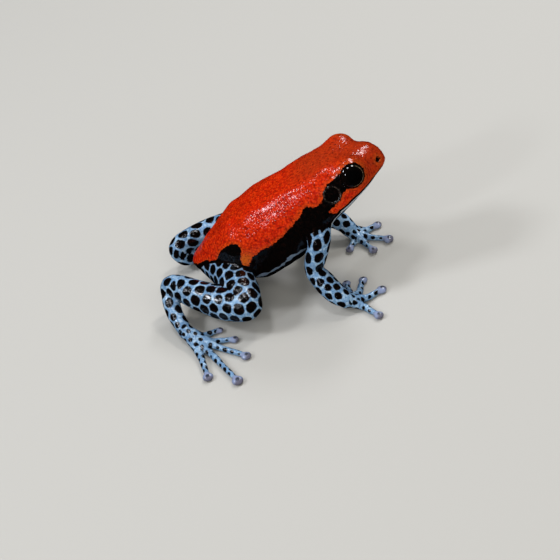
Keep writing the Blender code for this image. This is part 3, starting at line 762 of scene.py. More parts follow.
places = body_places(vertices)
angles = angle_round(places)
along = places[:, 0]
left_side = places[:, 1] > 0
(up_by, up_pace), (on_by, on_pace) = LEFT_WAVES
edge_angles = angles + left_side * up_by * np.sin(along * up_pace)
edge_along = along + left_side * on_by * np.sin(along * on_pace)
red_edge = signed_distance_to(outline, np.stack([edge_along, edge_angles * ANGLE_TO_MM], 1))
mouth_gap = places[:, 2] - looked_up(mouth_table, along)
ahead = ease((along - LIP_BOUND_FROM) / BOUND_FADE)
red_edge = red_edge * (1 - ahead) + np.minimum(red_edge, mouth_gap) * ahead
snout = ease((along - MOUTH_ONLY_FROM) / BOUND_FADE)
red_edge = red_edge * (1 - snout) + mouth_gap * snout       # at the tip only the mouth bounds the red
print("red share of the vertices:", round(float((red_edge > 0).mean()), 2))

# %% [markdown]
# ## Spots that fill the legs evenly
# Rounded spots sit about one pitch apart with pale net between them, like cells of a honeycomb
# that grew by chance. Centres are strewn as far apart as possible and then moved to the middle
# of the skin that lies nearest to them. Each vertex stores how deep in a spot it lies.

# %% Sizes of the spots
# For each limb: how far along, pitch of the spots, their length compared with their width and
# their radius compared with the pitch
SPOT_PITCHES = {
    "arm_right": [(0.0, 0.90, 1.6, 0.48), (3.3, 0.80, 1.5, 0.47), (4.2, 0.62, 1.15, 0.50),
                  (7.0, 0.58, 1.1, 0.51), (8.3, 0.55, 1.1, 0.42)],
    "arm_left": [(0.0, 0.95, 1.6, 0.56), (3.3, 0.80, 1.3, 0.56), (4.2, 0.66, 1.1, 0.52),
                 (7.0, 0.58, 1.1, 0.46), (8.3, 0.55, 1.1, 0.42)],
    "leg_right": [(0.0, 0.92, 1.1, 0.52), (5.5, 0.90, 1.0, 0.52), (11.5, 0.84, 1.0, 0.52),
                  (13.5, 0.72, 1.3, 0.50), (16.0, 0.60, 1.3, 0.45), (17.5, 0.55, 1.2, 0.43)],
    "leg_left": [(0.0, 0.92, 1.1, 0.52), (5.5, 0.90, 1.0, 0.52), (11.0, 0.84, 1.0, 0.52),
                 (13.0, 0.72, 1.3, 0.50), (16.0, 0.60, 1.3, 0.45), (17.5, 0.55, 1.2, 0.43)],
}
print("limbs with spots:", len(SPOT_PITCHES))

# %% Even spacing
FOLD_PENALTY = 1.6          # keeps a spot from jumping to the next fold of a bent limb
NET_SHARE, SPOT_ROUNDING = 0.060, 0.16
SMALLEST_SPOT, LARGEST_SPOT = 0.86, 1.12
EMPTY_FROM, MOST_SPOTS, ROUNDS_TO_SPREAD = 0.80, 400, 5


def spot_distance(points, along, centres, centre_along, direction, pitch, stretch):
    """Distances, in pitches, from every point to every centre, shorter along the limb."""
    away = points[:, None] - centres[None]
    lengthwise = (away * direction[None]).sum(2)
    squared = (away ** 2).sum(2)
    folded = np.maximum(np.abs(along[:, None] - centre_along[None]) - 1.5 * np.sqrt(squared), 0.0)
    squared = squared - lengthwise ** 2 * (1 - 1 / stretch[None] ** 2)
    return (np.sqrt(np.maximum(squared, 0)) + FOLD_PENALTY * folded) / pitch[None]


def strewn_spots(points, along, direction, pitch, stretch, fill, seed):
    """Depth in a spot at every point, above zero inside, from evenly strewn centres."""
    chosen = [int(np.random.default_rng(seed).integers(len(points)))]
    nearest = np.full(len(points), 1e9)
    while len(chosen) < MOST_SPOTS:
        last = np.array(chosen[-1:])
        nearest = np.minimum(nearest, spot_distance(points, along, points[last], along[last],
                                                    direction[last], pitch[last], stretch[last])[:, 0])
        if nearest.max() < EMPTY_FROM:
            break
        chosen.append(int(nearest.argmax()))
    chosen = np.array(chosen)
    for _ in range(ROUNDS_TO_SPREAD):
        away = spot_distance(points, along, points[chosen], along[chosen], direction[chosen],
                             pitch[chosen], stretch[chosen])
        owner = away.argmin(1)
        for k in range(len(chosen)):
            mine = np.flatnonzero(owner == k)
            if len(mine):
                middle = points[mine].mean(0)
                chosen[k] = mine[((points[mine] - middle) ** 2).sum(1).argmin()]
    away = spot_distance(points, along, points[chosen], along[chosen], direction[chosen],
                         pitch[chosen], stretch[chosen])
    order = np.argpartition(away, 2, axis=1)[:, :3]
    three = np.sort(np.take_along_axis(away, order, 1), axis=1)
    owner = away.argmin(1)
    to_border = ((three[:, 1] - three[:, 0]) / 2 - NET_SHARE) * pitch
    sizes = np.random.default_rng(seed + 1).uniform(SMALLEST_SPOT, LARGEST_SPOT, len(chosen))
    inside = (fill * sizes[owner] - three[:, 0]) * pitch
    return soft_union(to_border, inside, SPOT_ROUNDING), len(chosen)


print("net between spots:", 2 * NET_SHARE, "of their pitch")

# %% Spots on the limbs
NEAR_LIMB, FIRST_SEED = 0.55, 11

limb_gap = np.full(len(vertices), 1e3)
spots = np.zeros(len(vertices))
trunk_gap = trunk_field(places)
for number, (name, samples) in enumerate(limb_courses.items()):
    root, rows = HANDS_AND_FEET[name.replace("arm", "hand").replace("leg", "foot")]
    whole = np.vstack([samples, [(*root, ROOT_RADIUS)]])
    here = in_reach(vertices, whole, 0.3)
    gap, limb_along = chain_field(vertices[here], whole)
    keep = gap < NEAR_LIMB
    here, gap, limb_along = here[keep], gap[keep], limb_along[keep]
    travelled = np.append(0, np.cumsum(np.linalg.norm(np.diff(whole[:, :3], axis=0), axis=1)))
    slopes = np.gradient(whole[:, :3], travelled, axis=0)
    direction = np.stack([np.interp(limb_along, travelled, slopes[:, k]) for k in range(3)], 1)
    direction /= np.linalg.norm(direction, axis=1)[:, None]
    stations, *columns = zip(*SPOT_PITCHES[name])
    pitch, stretch, fill = (np.interp(limb_along, stations, column) for column in columns)
    depth, count = strewn_spots(vertices[here], limb_along, direction, pitch, stretch, fill,
                                FIRST_SEED + number)
    closer = gap < limb_gap[here]
    spots[here[closer]] = depth[closer]
    limb_gap[here[closer]] = gap[closer]
    print(name, "has", count, "spots")

# %% [markdown]
# ## Toes, belly, lips and lids
# The backs of hands and feet carry small round spots, and toes small spots along both sides of a
# pale middle line. Their discs are grey-blue with a dark patch and a browner outer rim. The belly
# has a grey net, and one pale line runs along its edge. The lids and the eardrum are black and
# smooth, with a faint painted highlight, brown-grey and broken into dots, on the ring round the
# drum. All of this is stored on the skin's vertices as named numbers for the material to read.

# %% Toes and their discs
TOE_SPOT_PITCH, TOE_SPOT_FROM, TOE_SPOT_ANGLE, TOE_SPOT_RADIUS = 0.62, 0.60, 0.62, 0.158
TOE_SPOT_LENGTHENED = 0.75                      # distances along a toe count this much
SMALLEST_TOE_SPOT, TOE_SPOT_RANGE = 0.55, 0.6   # of the radius
SHIFT_OF_SIDE, SHIFT_OF_DIGIT = 0.35, 0.37      # so that the rows of spots don't match
GOLDEN_STEP, DIGIT_STEP, SIDE_STEP = 0.618, 0.23, 0.41      # give each spot another size
DARK_PATCH_PLACE, DARK_PATCH_RADIUS = 0.28, 0.52        # on a disc, in its radii

disc_share, tip_share = np.zeros(len(vertices)), np.zeros(len(vertices))
for number, (samples, centre, disc) in enumerate(digit_rows):
    here = in_reach(vertices, samples, 0.5)
    gap, digit_along = chain_field(vertices[here], samples)
    at_disc = disc_field(vertices[here], centre, disc)
    outer = np.array(centre[:2]) - samples[4, :2]
    outer /= np.linalg.norm(outer)
    from_tip = vertices[here] - np.array(centre)
    sideways = from_tip[:, :2] @ np.array((-outer[1], outer[0]))
    turn = digit_along / TOE_SPOT_PITCH + SHIFT_OF_DIGIT * number + SHIFT_OF_SIDE * (sideways > 0)
    cell = np.floor(turn) * GOLDEN_STEP + DIGIT_STEP * number + SIDE_STEP * (sideways > 0)
    round_toe = np.arctan2(vertices[here, 2] - TOE_HEIGHT, np.abs(sideways)) - TOE_SPOT_ANGLE
    lengthwise = (turn % 1 - 0.5) * TOE_SPOT_PITCH * TOE_SPOT_LENGTHENED
    away = np.hypot(lengthwise, round_toe * TOE_RADIUS)
    depth = TOE_SPOT_RADIUS * (SMALLEST_TOE_SPOT + TOE_SPOT_RANGE * np.modf(cell)[0]) - away
    owned = (np.minimum(gap, at_disc) < limb_gap[here] - 0.02) & (digit_along > TOE_SPOT_FROM)
    spots[here[owned]] = depth[owned]
    limb_gap[here] = np.minimum(limb_gap[here], np.minimum(gap, at_disc))
    disc_share[here] = np.maximum(disc_share[here], ease((0.12 - at_disc) / 0.10))
    outward = from_tip[:, :2] @ outer / disc
    patch = np.hypot(outward - DARK_PATCH_PLACE, sideways / disc)
    mark = np.maximum(ease((DARK_PATCH_RADIUS - patch) / 0.25), 0.5 * ease((outward - 0.2) / 0.5))
    tip_share[here] = np.maximum(tip_share[here], mark * (at_disc < 0.05))
print("disc vertices:", int((disc_share > 0.5).sum()))

# %% Backs of hands and feet
INSTEP_PITCH, INSTEP_STRETCH, INSTEP_FILL, INSTEP_TOP = 0.56, 1.1, 0.34, 1.2

for number, (root, rows) in enumerate(HANDS_AND_FEET.values()):
    forward = np.mean([base for base, _, _ in rows], 0) - root[:2]
    length = np.linalg.norm(forward)
    from_root = vertices[:, :2] - root[:2]
    forth = from_root @ forward / length
    instep = np.flatnonzero((np.linalg.norm(from_root, axis=1) < length) & (forth > 0.1)
                            & (vertices[:, 2] < INSTEP_TOP) & (limb_gap < 0.3))
    ones = np.ones(len(instep))
    spots[instep], count = strewn_spots(
        vertices[instep], forth[instep], ones[:, None] * (*forward / length, 0),
        ones * INSTEP_PITCH, ones * INSTEP_STRETCH, ones * INSTEP_FILL, 51 + number)
    print("hand or foot", number, "has", count, "spots")
limb_share = ease((trunk_gap - limb_gap) / 0.35 + 0.5)

# %% Belly, throat and lower lip
PLAIN_BLACK = 0.5
BELLY_PITCH, BELLY_STRETCH, BELLY_FILL = 1.05, 1.2, 0.5
BELLY_FROM, BELLY_TO = -66.0, -54.0             # the net fades in between these angles
BELLY_LINE = [(4.3, -37), (4.9, -39), (5.6, -42), (6.4, -41), (7.1, -38), (7.8, -37), (8.6, -42),
              (9.2, -52), (10.2, -60)]
THROAT_LINE = [(12.1, -28), (11.5, -33), (11.15, -44), (10.9, -52), (10.5, -57)]
BELLY_LINE_WIDTH, BELLY_LINE_BREAKS = 0.10, 0.45
LIP_STRIP, LIP_STRIP_WIDTH = -0.18, 0.08        # pale edge of the lower lip, below the mouth line

belly = np.flatnonzero((angles < BELLY_TO + 10) & (trunk_gap < 0.6) & (limb_share < 0.99)
                       & (along > 0.3) & (along < 16.3))
ones = np.ones(len(belly))
belly_depth, belly_count = strewn_spots(
    vertices[belly], along[belly], looked_up(FORWARD, along[belly]), ones * BELLY_PITCH,
    ones * BELLY_STRETCH, ones * BELLY_FILL, 31)
body_spots = np.full(len(vertices), PLAIN_BLACK)
belly_share = ease((BELLY_TO - angles[belly]) / (BELLY_TO - BELLY_FROM))
body_spots[belly] = belly_depth * belly_share + PLAIN_BLACK * (1 - belly_share)
unrolled = np.stack([along, angles * ANGLE_TO_MM], 1)
belly_line, throat_line = (distance_to_path([(x, y * ANGLE_TO_MM) for x, y in path], unrolled)
                           for path in (BELLY_LINE, THROAT_LINE))
breaks = np.array([noise.noise(Vector(place / BELLY_LINE_BREAKS)) for place in vertices])
body_spots = np.minimum(body_spots, belly_line - BELLY_LINE_WIDTH + 0.30 * breaks)
lip_strip = ahead * ease(1.5 - np.abs(mouth_gap - LIP_STRIP) / LIP_STRIP_WIDTH)
throat = np.maximum(lip_strip, ease(1.5 - throat_line / LIP_STRIP_WIDTH))
body_spots = body_spots * (1 - throat) - 0.3 * throat
print("belly spots:", belly_count)

# %% Lids, eardrums and nostrils
LID_BLACK, EAR_BLACK, NOSTRIL_BLACK = 0.90, 0.66, 0.19      # radii of the black round them
EAR_HIGHLIGHT_WIDTH = 0.045

lid_share, ear_ring_highlight = np.zeros(len(vertices)), np.zeros(len(vertices))
for side in (1, -1):
    for (centre, out), radius in ((eye_place(side), LID_BLACK),
                                  (side_place(*EAR_PLACE, side), EAR_BLACK),
                                  (side_place(*NOSTRIL_PLACE, side), NOSTRIL_BLACK)):
        around, rise = round_places(vertices, centre, out)
        edge = np.where((rise > -0.5) & (rise < 1.3), around - radius, 9.0)
        red_edge = np.minimum(red_edge, edge)
        body_spots = np.where(edge < 0, np.maximum(body_spots, -edge + 0.05), body_spots)
        lid_share = np.maximum(lid_share, ease(-edge / 0.10 + 0.5))
        # a thin line on the ring round each eardrum is marked for a painted highlight
        if radius == EAR_BLACK:
            from_ring = around - EAR_RADIUS - EAR_WIRE * EAR_RING_OUT
            ring = np.exp(-(from_ring / EAR_HIGHLIGHT_WIDTH) ** 2)
            ear_ring_highlight = np.maximum(ear_ring_highlight, ring * (np.abs(rise) < 0.5))
print("vertices in the black round eyes, ears and nostrils:", int((lid_share > 0.5).sum()))

# %% Shares of each finish
NO_RED_ON_LIMBS = 3.0
CROWN_FROM, CROWN_FADE, CROWN_WIDTH = 9.5, 2.5, 1.4
FACE_FROM, FACE_FADE = 13.0, 2.2
GRANULES_FROM, GRANULES_FADE = 0.12, 0.15       # distance from the edge of the red

smooth_share = np.maximum(disc_share * 0.7, lid_share)
red_edge = red_edge - NO_RED_ON_LIMBS * limb_share
spots = spots * limb_share + body_spots * (1 - limb_share)
grey_share = np.clip((1 - limb_share) * 0.9 + disc_share * 0.6, 0, 1)
lobe_share = np.exp(-((along - LOBE_PLACE[0]) / LOBE_SIZE[0]) ** 2
                    - ((angles - LOBE_PLACE[1]) / LOBE_SIZE[1]) ** 2)
# the crown's brown is partly the head's own brown and partly a painted sky sheen on the top of the neck
# and back
crown_brown_and_sheen = (ease((along - CROWN_FROM) / CROWN_FADE) * ease(1.6 - np.abs(places[:, 1]) / CROWN_WIDTH)
         * (places[:, 2] > 0))
face_brown_and_top_sheen = np.maximum(ease((along - FACE_FROM) / FACE_FADE) * 0.9, crown_brown_and_sheen * 0.85)
granular_share = (ease((red_edge - GRANULES_FROM) / GRANULES_FADE) * (1 - smooth_share)
                  * (1 - 0.5 * face_brown_and_top_sheen))
print("granular share of the skin:", granular_share.mean().round(2))

# %% Uneven flesh, and the numbers stored on it
UNEVEN_SIZE, UNEVEN_HEIGHT = 0.9, 0.035

bumpy = np.array([noise.noise(Vector(place / UNEVEN_SIZE)) for place in vertices])
skin_mesh.vertices.foreach_set("co", vertices.ravel())
normals = np.empty(len(vertices) * 3)
skin_mesh.vertex_normals.foreach_get("vector", normals)
calm = 1 - np.maximum(smooth_share, disc_share) * 0.9
vertices = vertices + normals.reshape(-1, 3) * (bumpy * UNEVEN_HEIGHT * calm)[:, None]
vertices[:, 2] = np.maximum(vertices[:, 2], 0.0)
skin_mesh.vertices.foreach_set("co", in_metres(vertices).ravel())


def store(mesh, name, values):
    mesh.attributes.new(name, "FLOAT", "POINT").data.foreach_set("value", values.astype(np.float32))


for name, numbers in (("red_edge", red_edge), ("spot_edge", spots), ("disc", disc_share),
                      ("smooth", smooth_share), ("grey", grey_share), ("lobe", lobe_share),
                      ("face", face_brown_and_top_sheen), ("limb", limb_share), ("throat", throat),
                      ("tip", tip_share), ("granular", granular_share), ("ear_ring_highlight", ear_ring_highlight)):
    store(skin_mesh, name, numbers)
skin_mesh.shade_smooth()
print("numbers stored on each vertex:", len(skin_mesh.attributes))

# %% [markdown]
# ## Helpers for materials
# Colours are written as the six-digit codes of paint programs and turned into the linear light
# that the shader counts in. One small function adds any node, with its settings and links, and
# gives back an output to go on with. A finish is then painted as on a real model: a ground colour
# and coats over it, each as thick as a pattern says.

# %% Material helpers
def colour(code):
    parts = [int(code[k:k + 2], 16) / 255 for k in (1, 3, 5)]
    linear = [c / 12.92 if c <= 0.04045 else ((c + 0.055) / 1.055) ** 2.4 for c in parts]
    return (*linear, 1.0)


def add(tree, kind, inputs=(), out=0, **settings):
    made = tree.nodes.new(kind)
    for setting, value in settings.items():
        setattr(made, setting, value)
    for key, value in inputs.items() if isinstance(inputs, dict) else enumerate(inputs):
        if isinstance(value, bpy.types.NodeSocket):
            tree.links.new(value, made.inputs[key])
        else:
            made.inputs[key].default_value = value
    return made.outputs if out is None else made.outputs[out]


def painted(tree, ground, *coats):
    """The ground colour under coats, each a share from 0 to 1 and a colour."""
    for share, tint in coats:
        tint = colour(tint) if isinstance(tint, str) else tint
        ground = add(tree, "ShaderNodeMix", {0: share, 6: ground, 7: tint}, 2, data_type="RGBA")
    return ground


def new_material(name, roughness=0.5):
    material = bpy.data.materials.new(name)
    material.use_nodes = True
    shader = material.node_tree.nodes["Principled BSDF"]
    shader.inputs["Roughness"].default_value = roughness
    return material, material.node_tree, shader


def in_millimetres(tree):
    place = add(tree, "ShaderNodeTexCoord", out="Object")
    return add(tree, "ShaderNodeVectorMath", {0: place, "Scale": 1 / MM}, operation="SCALE")


print("mid grey in linear light:", round(colour("#808080")[0], 3))

# %% [markdown]
# ## Moist granular skin
# The skin of the back is packed with granules a fifth of a millimetre across, each a little
# different in tone. Dark red is painted between them as shade in their hollows, and their domes
# are painted lighter. A film of water on top gives sharp highlights that the granules break up.
# Cell noise makes the granules, both as colour and as bump; the bump is stronger on the limbs,
# which get no raised caps. The stored numbers tell the shader where red, black and net lie.

# %% Patterns of the skin
GRANULES_PER_MM, FINE_PER_MM = 5.6, 15.0
EDGES_PER_MM, PATCHES_PER_MM = 6.0, 0.8

moist_skin, tree, shader = new_material("moist granular skin")
place = in_millimetres(tree)
cells = {"Vector": place, "Scale": GRANULES_PER_MM, "Randomness": 0.9}
hollow = add(tree, "ShaderNodeTexVoronoi", {**cells, "Smoothness": 0.25}, "Distance",
             feature="SMOOTH_F1")
hollow = add(tree, "ShaderNodeMapRange", (hollow, 0.0, 0.62))
hollow = add(tree, "ShaderNodeMath", (hollow, hollow), operation="MULTIPLY")
dome = add(tree, "ShaderNodeMath", (1.0, hollow), operation="SUBTRACT")
tone = add(tree, "ShaderNodeTexVoronoi", cells, "Color")
tone = add(tree, "ShaderNodeSeparateColor", (tone,))
fine, rough_edge, patch = (
    add(tree, "ShaderNodeTexNoise", {"Vector": place, "Scale": scale, "Detail": detail})
    for scale, detail in ((FINE_PER_MM, 2.0), (EDGES_PER_MM, 3.0), (PATCHES_PER_MM, 2.0)))
red_from, spot_from, face, lobe, grey, limb, disc, pale, tip, drum_ring_glint, smooth = (
    add(tree, "ShaderNodeAttribute", out="Fac", attribute_name=name)
    for name in ("red_edge", "spot_edge", "face", "lobe", "grey", "limb", "disc", "throat",
                 "tip", "ear_ring_highlight", "smooth"))
calm = add(tree, "ShaderNodeMapRange", (smooth, 0.0, 1.0, 1.0, 0.06))
print("nodes for the patterns:", len(tree.nodes))

# %% Red of the back
# Browner on the face and crown, the crown's brown partly a painted sky sheen; orange on the lobe and along
# the edge, with dark flecks
fringe = add(tree, "ShaderNodeMapRange", (red_from, 0.02, 0.35, 0.30, 0.0))
lobed = add(tree, "ShaderNodeMath", (lobe, 0.85), operation="MULTIPLY")
# the dark red ground shows between the granules and the domes are lighter: painted shade in the hollows,
# painted light on the tops
red = painted(
    tree, colour("#b01803"), (dome, "#e43808"),
    (add(tree, "ShaderNodeMapRange", (tone, 0.55, 1.0, 0.0, 0.25)), "#ee4a10"),
    (add(tree, "ShaderNodeMapRange", (patch, 0.35, 0.75, 0.0, 0.40)), "#d01f04"),
    (add(tree, "ShaderNodeMath", (face, 0.70), operation="MULTIPLY"), "#8e3010"),
    (add(tree, "ShaderNodeMath", (fringe, lobed), operation="MAXIMUM"), "#cc6218"),
    (add(tree, "ShaderNodeMapRange", (rough_edge, 0.53, 0.65, 0.0, 0.65)), "#4d0d05"))
print("nodes with the red:", len(tree.nodes))

# %% Blue net and black
# The net is mottled, greyer on the trunk and nearly white on the lip; the discs are grey-blue
pad = painted(tree, colour("#8b94b2"),
              (add(tree, "ShaderNodeMapRange", (tip, 0.0, 0.5)), "#665f6c"),
              (add(tree, "ShaderNodeMapRange", (tip, 0.5, 1.0)), "#1f1b22"))
# the whitish fine mottle and the paler single granules on the net are partly real whitish granules, partly
# painted wet highlights
blue = painted(
    tree, colour("#4c7095"), (add(tree, "ShaderNodeMapRange", (patch, 0.3, 0.7)), "#7297bb"),
    (add(tree, "ShaderNodeMapRange", (fine, 0.45, 0.7, 0.0, 0.5)), "#a9c6da"),
    (add(tree, "ShaderNodeMapRange", (tone, 0.5, 1.0, 0.0, 0.55)), "#bcd4e2"),
    (add(tree, "ShaderNodeMath", (grey, 0.8), operation="MULTIPLY"), "#616872"),
    (add(tree, "ShaderNodeMath", (pale, 0.8), operation="MULTIPLY"), "#c3ccd0"),
    (add(tree, "ShaderNodeMath", (disc, 0.85), operation="MULTIPLY"), pad))
# the ring round the eardrum gets a brown-grey painted highlight, broken into dots
glint_dots = add(tree, "ShaderNodeMapRange", (rough_edge, 0.45, 0.60, 0.1, 0.8))
# brown patches in the black are partly its own brownish tone, partly a painted reddish-brown sheen
black = painted(
    tree, colour("#050404"), (add(tree, "ShaderNodeMapRange", (rough_edge, 0.5, 0.8)), "#1c0c08"),
    (add(tree, "ShaderNodeMath", (drum_ring_glint, glint_dots), operation="MULTIPLY"), "#55483f"))
print("nodes with net and black:", len(tree.nodes))

# %% Crisp and slightly ragged edges between them
# The stored distances are cut within two hundredths of a millimetre of zero
EDGE_SOFTNESS = 0.02

ragged = add(tree, "ShaderNodeMath", (rough_edge, 0.10, -0.05), operation="MULTIPLY_ADD")
in_spot = add(tree, "ShaderNodeMath", (spot_from, ragged), operation="ADD")
in_spot = add(tree, "ShaderNodeMapRange", (in_spot, -EDGE_SOFTNESS, EDGE_SOFTNESS))
off_disc = add(tree, "ShaderNodeMapRange", (disc, 0.2, 0.6, 1.0, 0.0))
in_spot = add(tree, "ShaderNodeMath", (in_spot, off_disc), operation="MULTIPLY")
grainy = add(tree, "ShaderNodeMath", (dome, 0.06, -0.03), operation="MULTIPLY_ADD")
jagged = add(tree, "ShaderNodeMath", (rough_edge, 0.24, -0.12), operation="MULTIPLY_ADD")
jagged = add(tree, "ShaderNodeMath", (grainy, jagged), operation="ADD")
jagged = add(tree, "ShaderNodeMath", (jagged, calm), operation="MULTIPLY")
in_red = add(tree, "ShaderNodeMath", (red_from, jagged), operation="ADD")
in_red = add(tree, "ShaderNodeMapRange", (in_red, -EDGE_SOFTNESS, EDGE_SOFTNESS))
skin_colour = painted(tree, blue, (in_spot, black), (in_red, red))
print("nodes with the edges:", len(tree.nodes))

# %% Wet surface
GRANULE_HEIGHT, FINE_HEIGHT = 0.005 * MM, 0.0016 * MM
LIMB_BUMP, LIMB_GLOSS = 2.3, 0.7

rough = add(tree, "ShaderNodeMapRange", (fine, 0.3, 0.7, 0.12, 0.22))
glossier = add(tree, "ShaderNodeMapRange", (limb, 0.0, 1.0, 1.0, LIMB_GLOSS))
rough = add(tree, "ShaderNodeMath", (rough, glossier), operation="MULTIPLY")
strength = add(tree, "ShaderNodeMapRange", (limb, 0.0, 1.0, 1.0, LIMB_BUMP))
strength = add(tree, "ShaderNodeMath", (calm, strength), operation="MULTIPLY")
raised = add(tree, "ShaderNodeMath", (dome, strength), operation="MULTIPLY")
bump = add(tree, "ShaderNodeBump", {"Height": raised, "Distance": GRANULE_HEIGHT, "Strength": 1.0})
grain = add(tree, "ShaderNodeMath", (fine, calm), operation="MULTIPLY")
bump = add(tree, "ShaderNodeBump", {"Height": grain, "Distance": FINE_HEIGHT, "Normal": bump})
for name, socket in (("Base Color", skin_colour), ("Roughness", rough), ("Normal", bump)):
    tree.links.new(socket, shader.inputs[name])
for name, value in (("Specular IOR Level", 0.36), ("Subsurface Weight", 0.06),
                    ("Subsurface Radius", (1.0, 0.35, 0.2)), ("Subsurface Scale", 0.25 * MM)):
    shader.inputs[name].default_value = value
print("nodes of the whole skin:", len(tree.nodes))

# %% The skin takes the place of the solids of flesh
skin = bpy.data.objects.new("frog_skin", skin_mesh)
bpy.context.scene.collection.objects.link(skin)
skin_mesh.materials.append(moist_skin)
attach(skin, "root")
fleshy = [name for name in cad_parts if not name.startswith("eye_")]
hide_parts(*fleshy)
print("skin replaces", len(fleshy), "solids")

# %% [markdown]
# ## Raised granules
# On the back the granules stand up as tiny caps about a fifth of a millimetre apart, and each
# catches its own point of light. A geometry node tree strews points over the skin where the
# stored number allows it, never closer than the spacing, and sets the low cap of a ball on each.

# %% Tree of the granules
CAP_SUNK = 1.02             # of the level where the cap is cut, so that its rim lies in the skin
GRANULE_INPUTS = (("Skin", "Geometry"), ("Spacing", "Float"), ("Density", "Float"),
                 ("Ball radius", "Float"), ("Cap from", "Float"), ("Flatness", "Float"),
                 ("Smallest", "Float"), ("Largest", "Float"), ("Seed", "Int"),
                 ("Material", "Material"))


def granule_tree():
    group = bpy.data.node_groups.new("granules on skin", "GeometryNodeTree")
    for name, kind in GRANULE_INPUTS:
        group.interface.new_socket(name=name, in_out="INPUT", socket_type="NodeSocket" + kind)
    group.interface.new_socket(name="Granules", in_out="OUTPUT", socket_type="NodeSocketGeometry")
    given = add(group, "NodeGroupInput", out=None)
    share = add(group, "GeometryNodeInputNamedAttribute", {"Name": "granular"}, "Attribute",
                data_type="FLOAT")
    strewn = add(group, "GeometryNodeDistributePointsOnFaces",
                 {"Mesh": given["Skin"], "Distance Min": given["Spacing"],
                  "Density Max": given["Density"], "Density Factor": share,
                  "Seed": given["Seed"]}, None, distribute_method="POISSON")
    ball = add(group, "GeometryNodeMeshIcoSphere",
               {"Radius": given["Ball radius"], "Subdivisions": 3}, "Mesh")
    level = add(group, "ShaderNodeMath", (given["Ball radius"], given["Cap from"]),
                operation="MULTIPLY")
    height = add(group, "ShaderNodeSeparateXYZ", (add(group, "GeometryNodeInputPosition"),), 2)
    below = add(group, "ShaderNodeMath", (height, level), operation="LESS_THAN")
    cap = add(group, "GeometryNodeDeleteGeometry", {"Geometry": ball, "Selection": below})
    sink = add(group, "ShaderNodeMath", (level, -CAP_SUNK), operation="MULTIPLY")
    sink = add(group, "ShaderNodeCombineXYZ", {"Z": sink})
    cap = add(group, "GeometryNodeTransform", {"Geometry": cap, "Translation": sink})
    size = add(group, "FunctionNodeRandomValue",
               {2: given["Smallest"], 3: given["Largest"], "Seed": given["Seed"]}, 1,
               data_type="FLOAT")
    scale = add(group, "ShaderNodeCombineXYZ", (1.0, 1.0, given["Flatness"]))
    scale = add(group, "ShaderNodeVectorMath", {0: scale, "Scale": size}, operation="SCALE")
    caps = add(group, "GeometryNodeInstanceOnPoints",
               {"Points": strewn["Points"], "Instance": cap, "Rotation": strewn["Rotation"],
                "Scale": scale})
    caps = add(group, "GeometryNodeRealizeInstances", (caps,))
    caps = add(group, "GeometryNodeSetShadeSmooth", (caps,))
    caps = add(group, "GeometryNodeSetMaterial", {"Geometry": caps, "Material": given["Material"]})
    add(group, "NodeGroupOutput", (caps,), None)
    return group


granules_on_skin = granule_tree()
print("nodes of the granules:", len(granules_on_skin.nodes))

# %% Granules
def from_nodes(name, source, group, settings):
    """New object from a copy of the source mesh with the node tree's result baked in."""
    made = bpy.data.objects.new(name, source.data.copy())
    bpy.context.scene.collection.objects.link(made)
    modifier = made.modifiers.new(name, "NODES")
    modifier.node_group = group
    for item in group.interface.items_tree:
        if item.in_out == "INPUT" and item.name in settings:
            modifier[item.identifier] = settings[item.name]
    depsgraph = bpy.context.evaluated_depsgraph_get()
    mesh = bpy.data.meshes.new_from_object(made.evaluated_get(depsgraph))
    made.modifiers.remove(modifier)
    made.data = mesh
    return made


granules = from_nodes("skin_granules", skin, granules_on_skin, {
    "Spacing": 0.17 * MM, "Density": 200 / MM ** 2, "Ball radius": 0.145 * MM, "Cap from": 0.60,
    "Flatness": 0.24, "Smallest": 0.75, "Largest": 1.20, "Seed": 5, "Material": moist_skin})
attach(granules, "root")
print("granule triangles:", len(granules.data.polygons))

# %% [markdown]
# ## The eyes
# A frog's eye is a glossy ball, almost all pupil, with a thin bronze line where the iris meets
# the lid and a wet rim round it. The ball is lathed from a half circle, so its rings run round
# the direction it looks in and the bronze line can follow one of them.

# %% Eye material
IRIS_RADIUS, IRIS_WIDTH = 0.72, 0.035

wet_eye, tree, shader = new_material("wet black eye", 0.03)
from_axis, ahead_below = (
    add(tree, "ShaderNodeAttribute", out="Fac", attribute_name=name)
    for name in ("from_axis", "ahead_below"))
streak = add(tree, "ShaderNodeTexNoise",
             {"Vector": in_millimetres(tree), "Scale": 7.0, "Detail": 3.0})
line = add(tree, "ShaderNodeMath", (from_axis, IRIS_RADIUS), operation="SUBTRACT")
line = add(tree, "ShaderNodeMath", (line,), operation="ABSOLUTE")
line = add(tree, "ShaderNodeMapRange", (line, 0.0, IRIS_WIDTH, 1.0, 0.0))
for share, low, high in ((streak, 0.35, 0.55), (ahead_below, 0.0, 0.5)):
    share = add(tree, "ShaderNodeMapRange", (share, low, high))
    line = add(tree, "ShaderNodeMath", (line, share), operation="MULTIPLY")
iris = add(tree, "ShaderNodeMapRange", (from_axis, 0.40, 0.80, 0.0, 0.5))
iris = add(tree, "ShaderNodeMath", (iris, streak), operation="MULTIPLY")
eye_colour = painted(tree, colour("#030303"), (iris, "#1c100a"), (line, "#8d7a60"))
tree.links.new(eye_colour, shader.inputs["Base Color"])
shader.inputs["Specular IOR Level"].default_value = 0.32
print("nodes of the eye:", len(tree.nodes))

# %% Eyes
IRIS_BRIGHTEST = (0.75, 0.0, -0.66)     # ahead and below, as (forward, left, up)
EYE_RINGS, EYE_SIDES = 40, 64


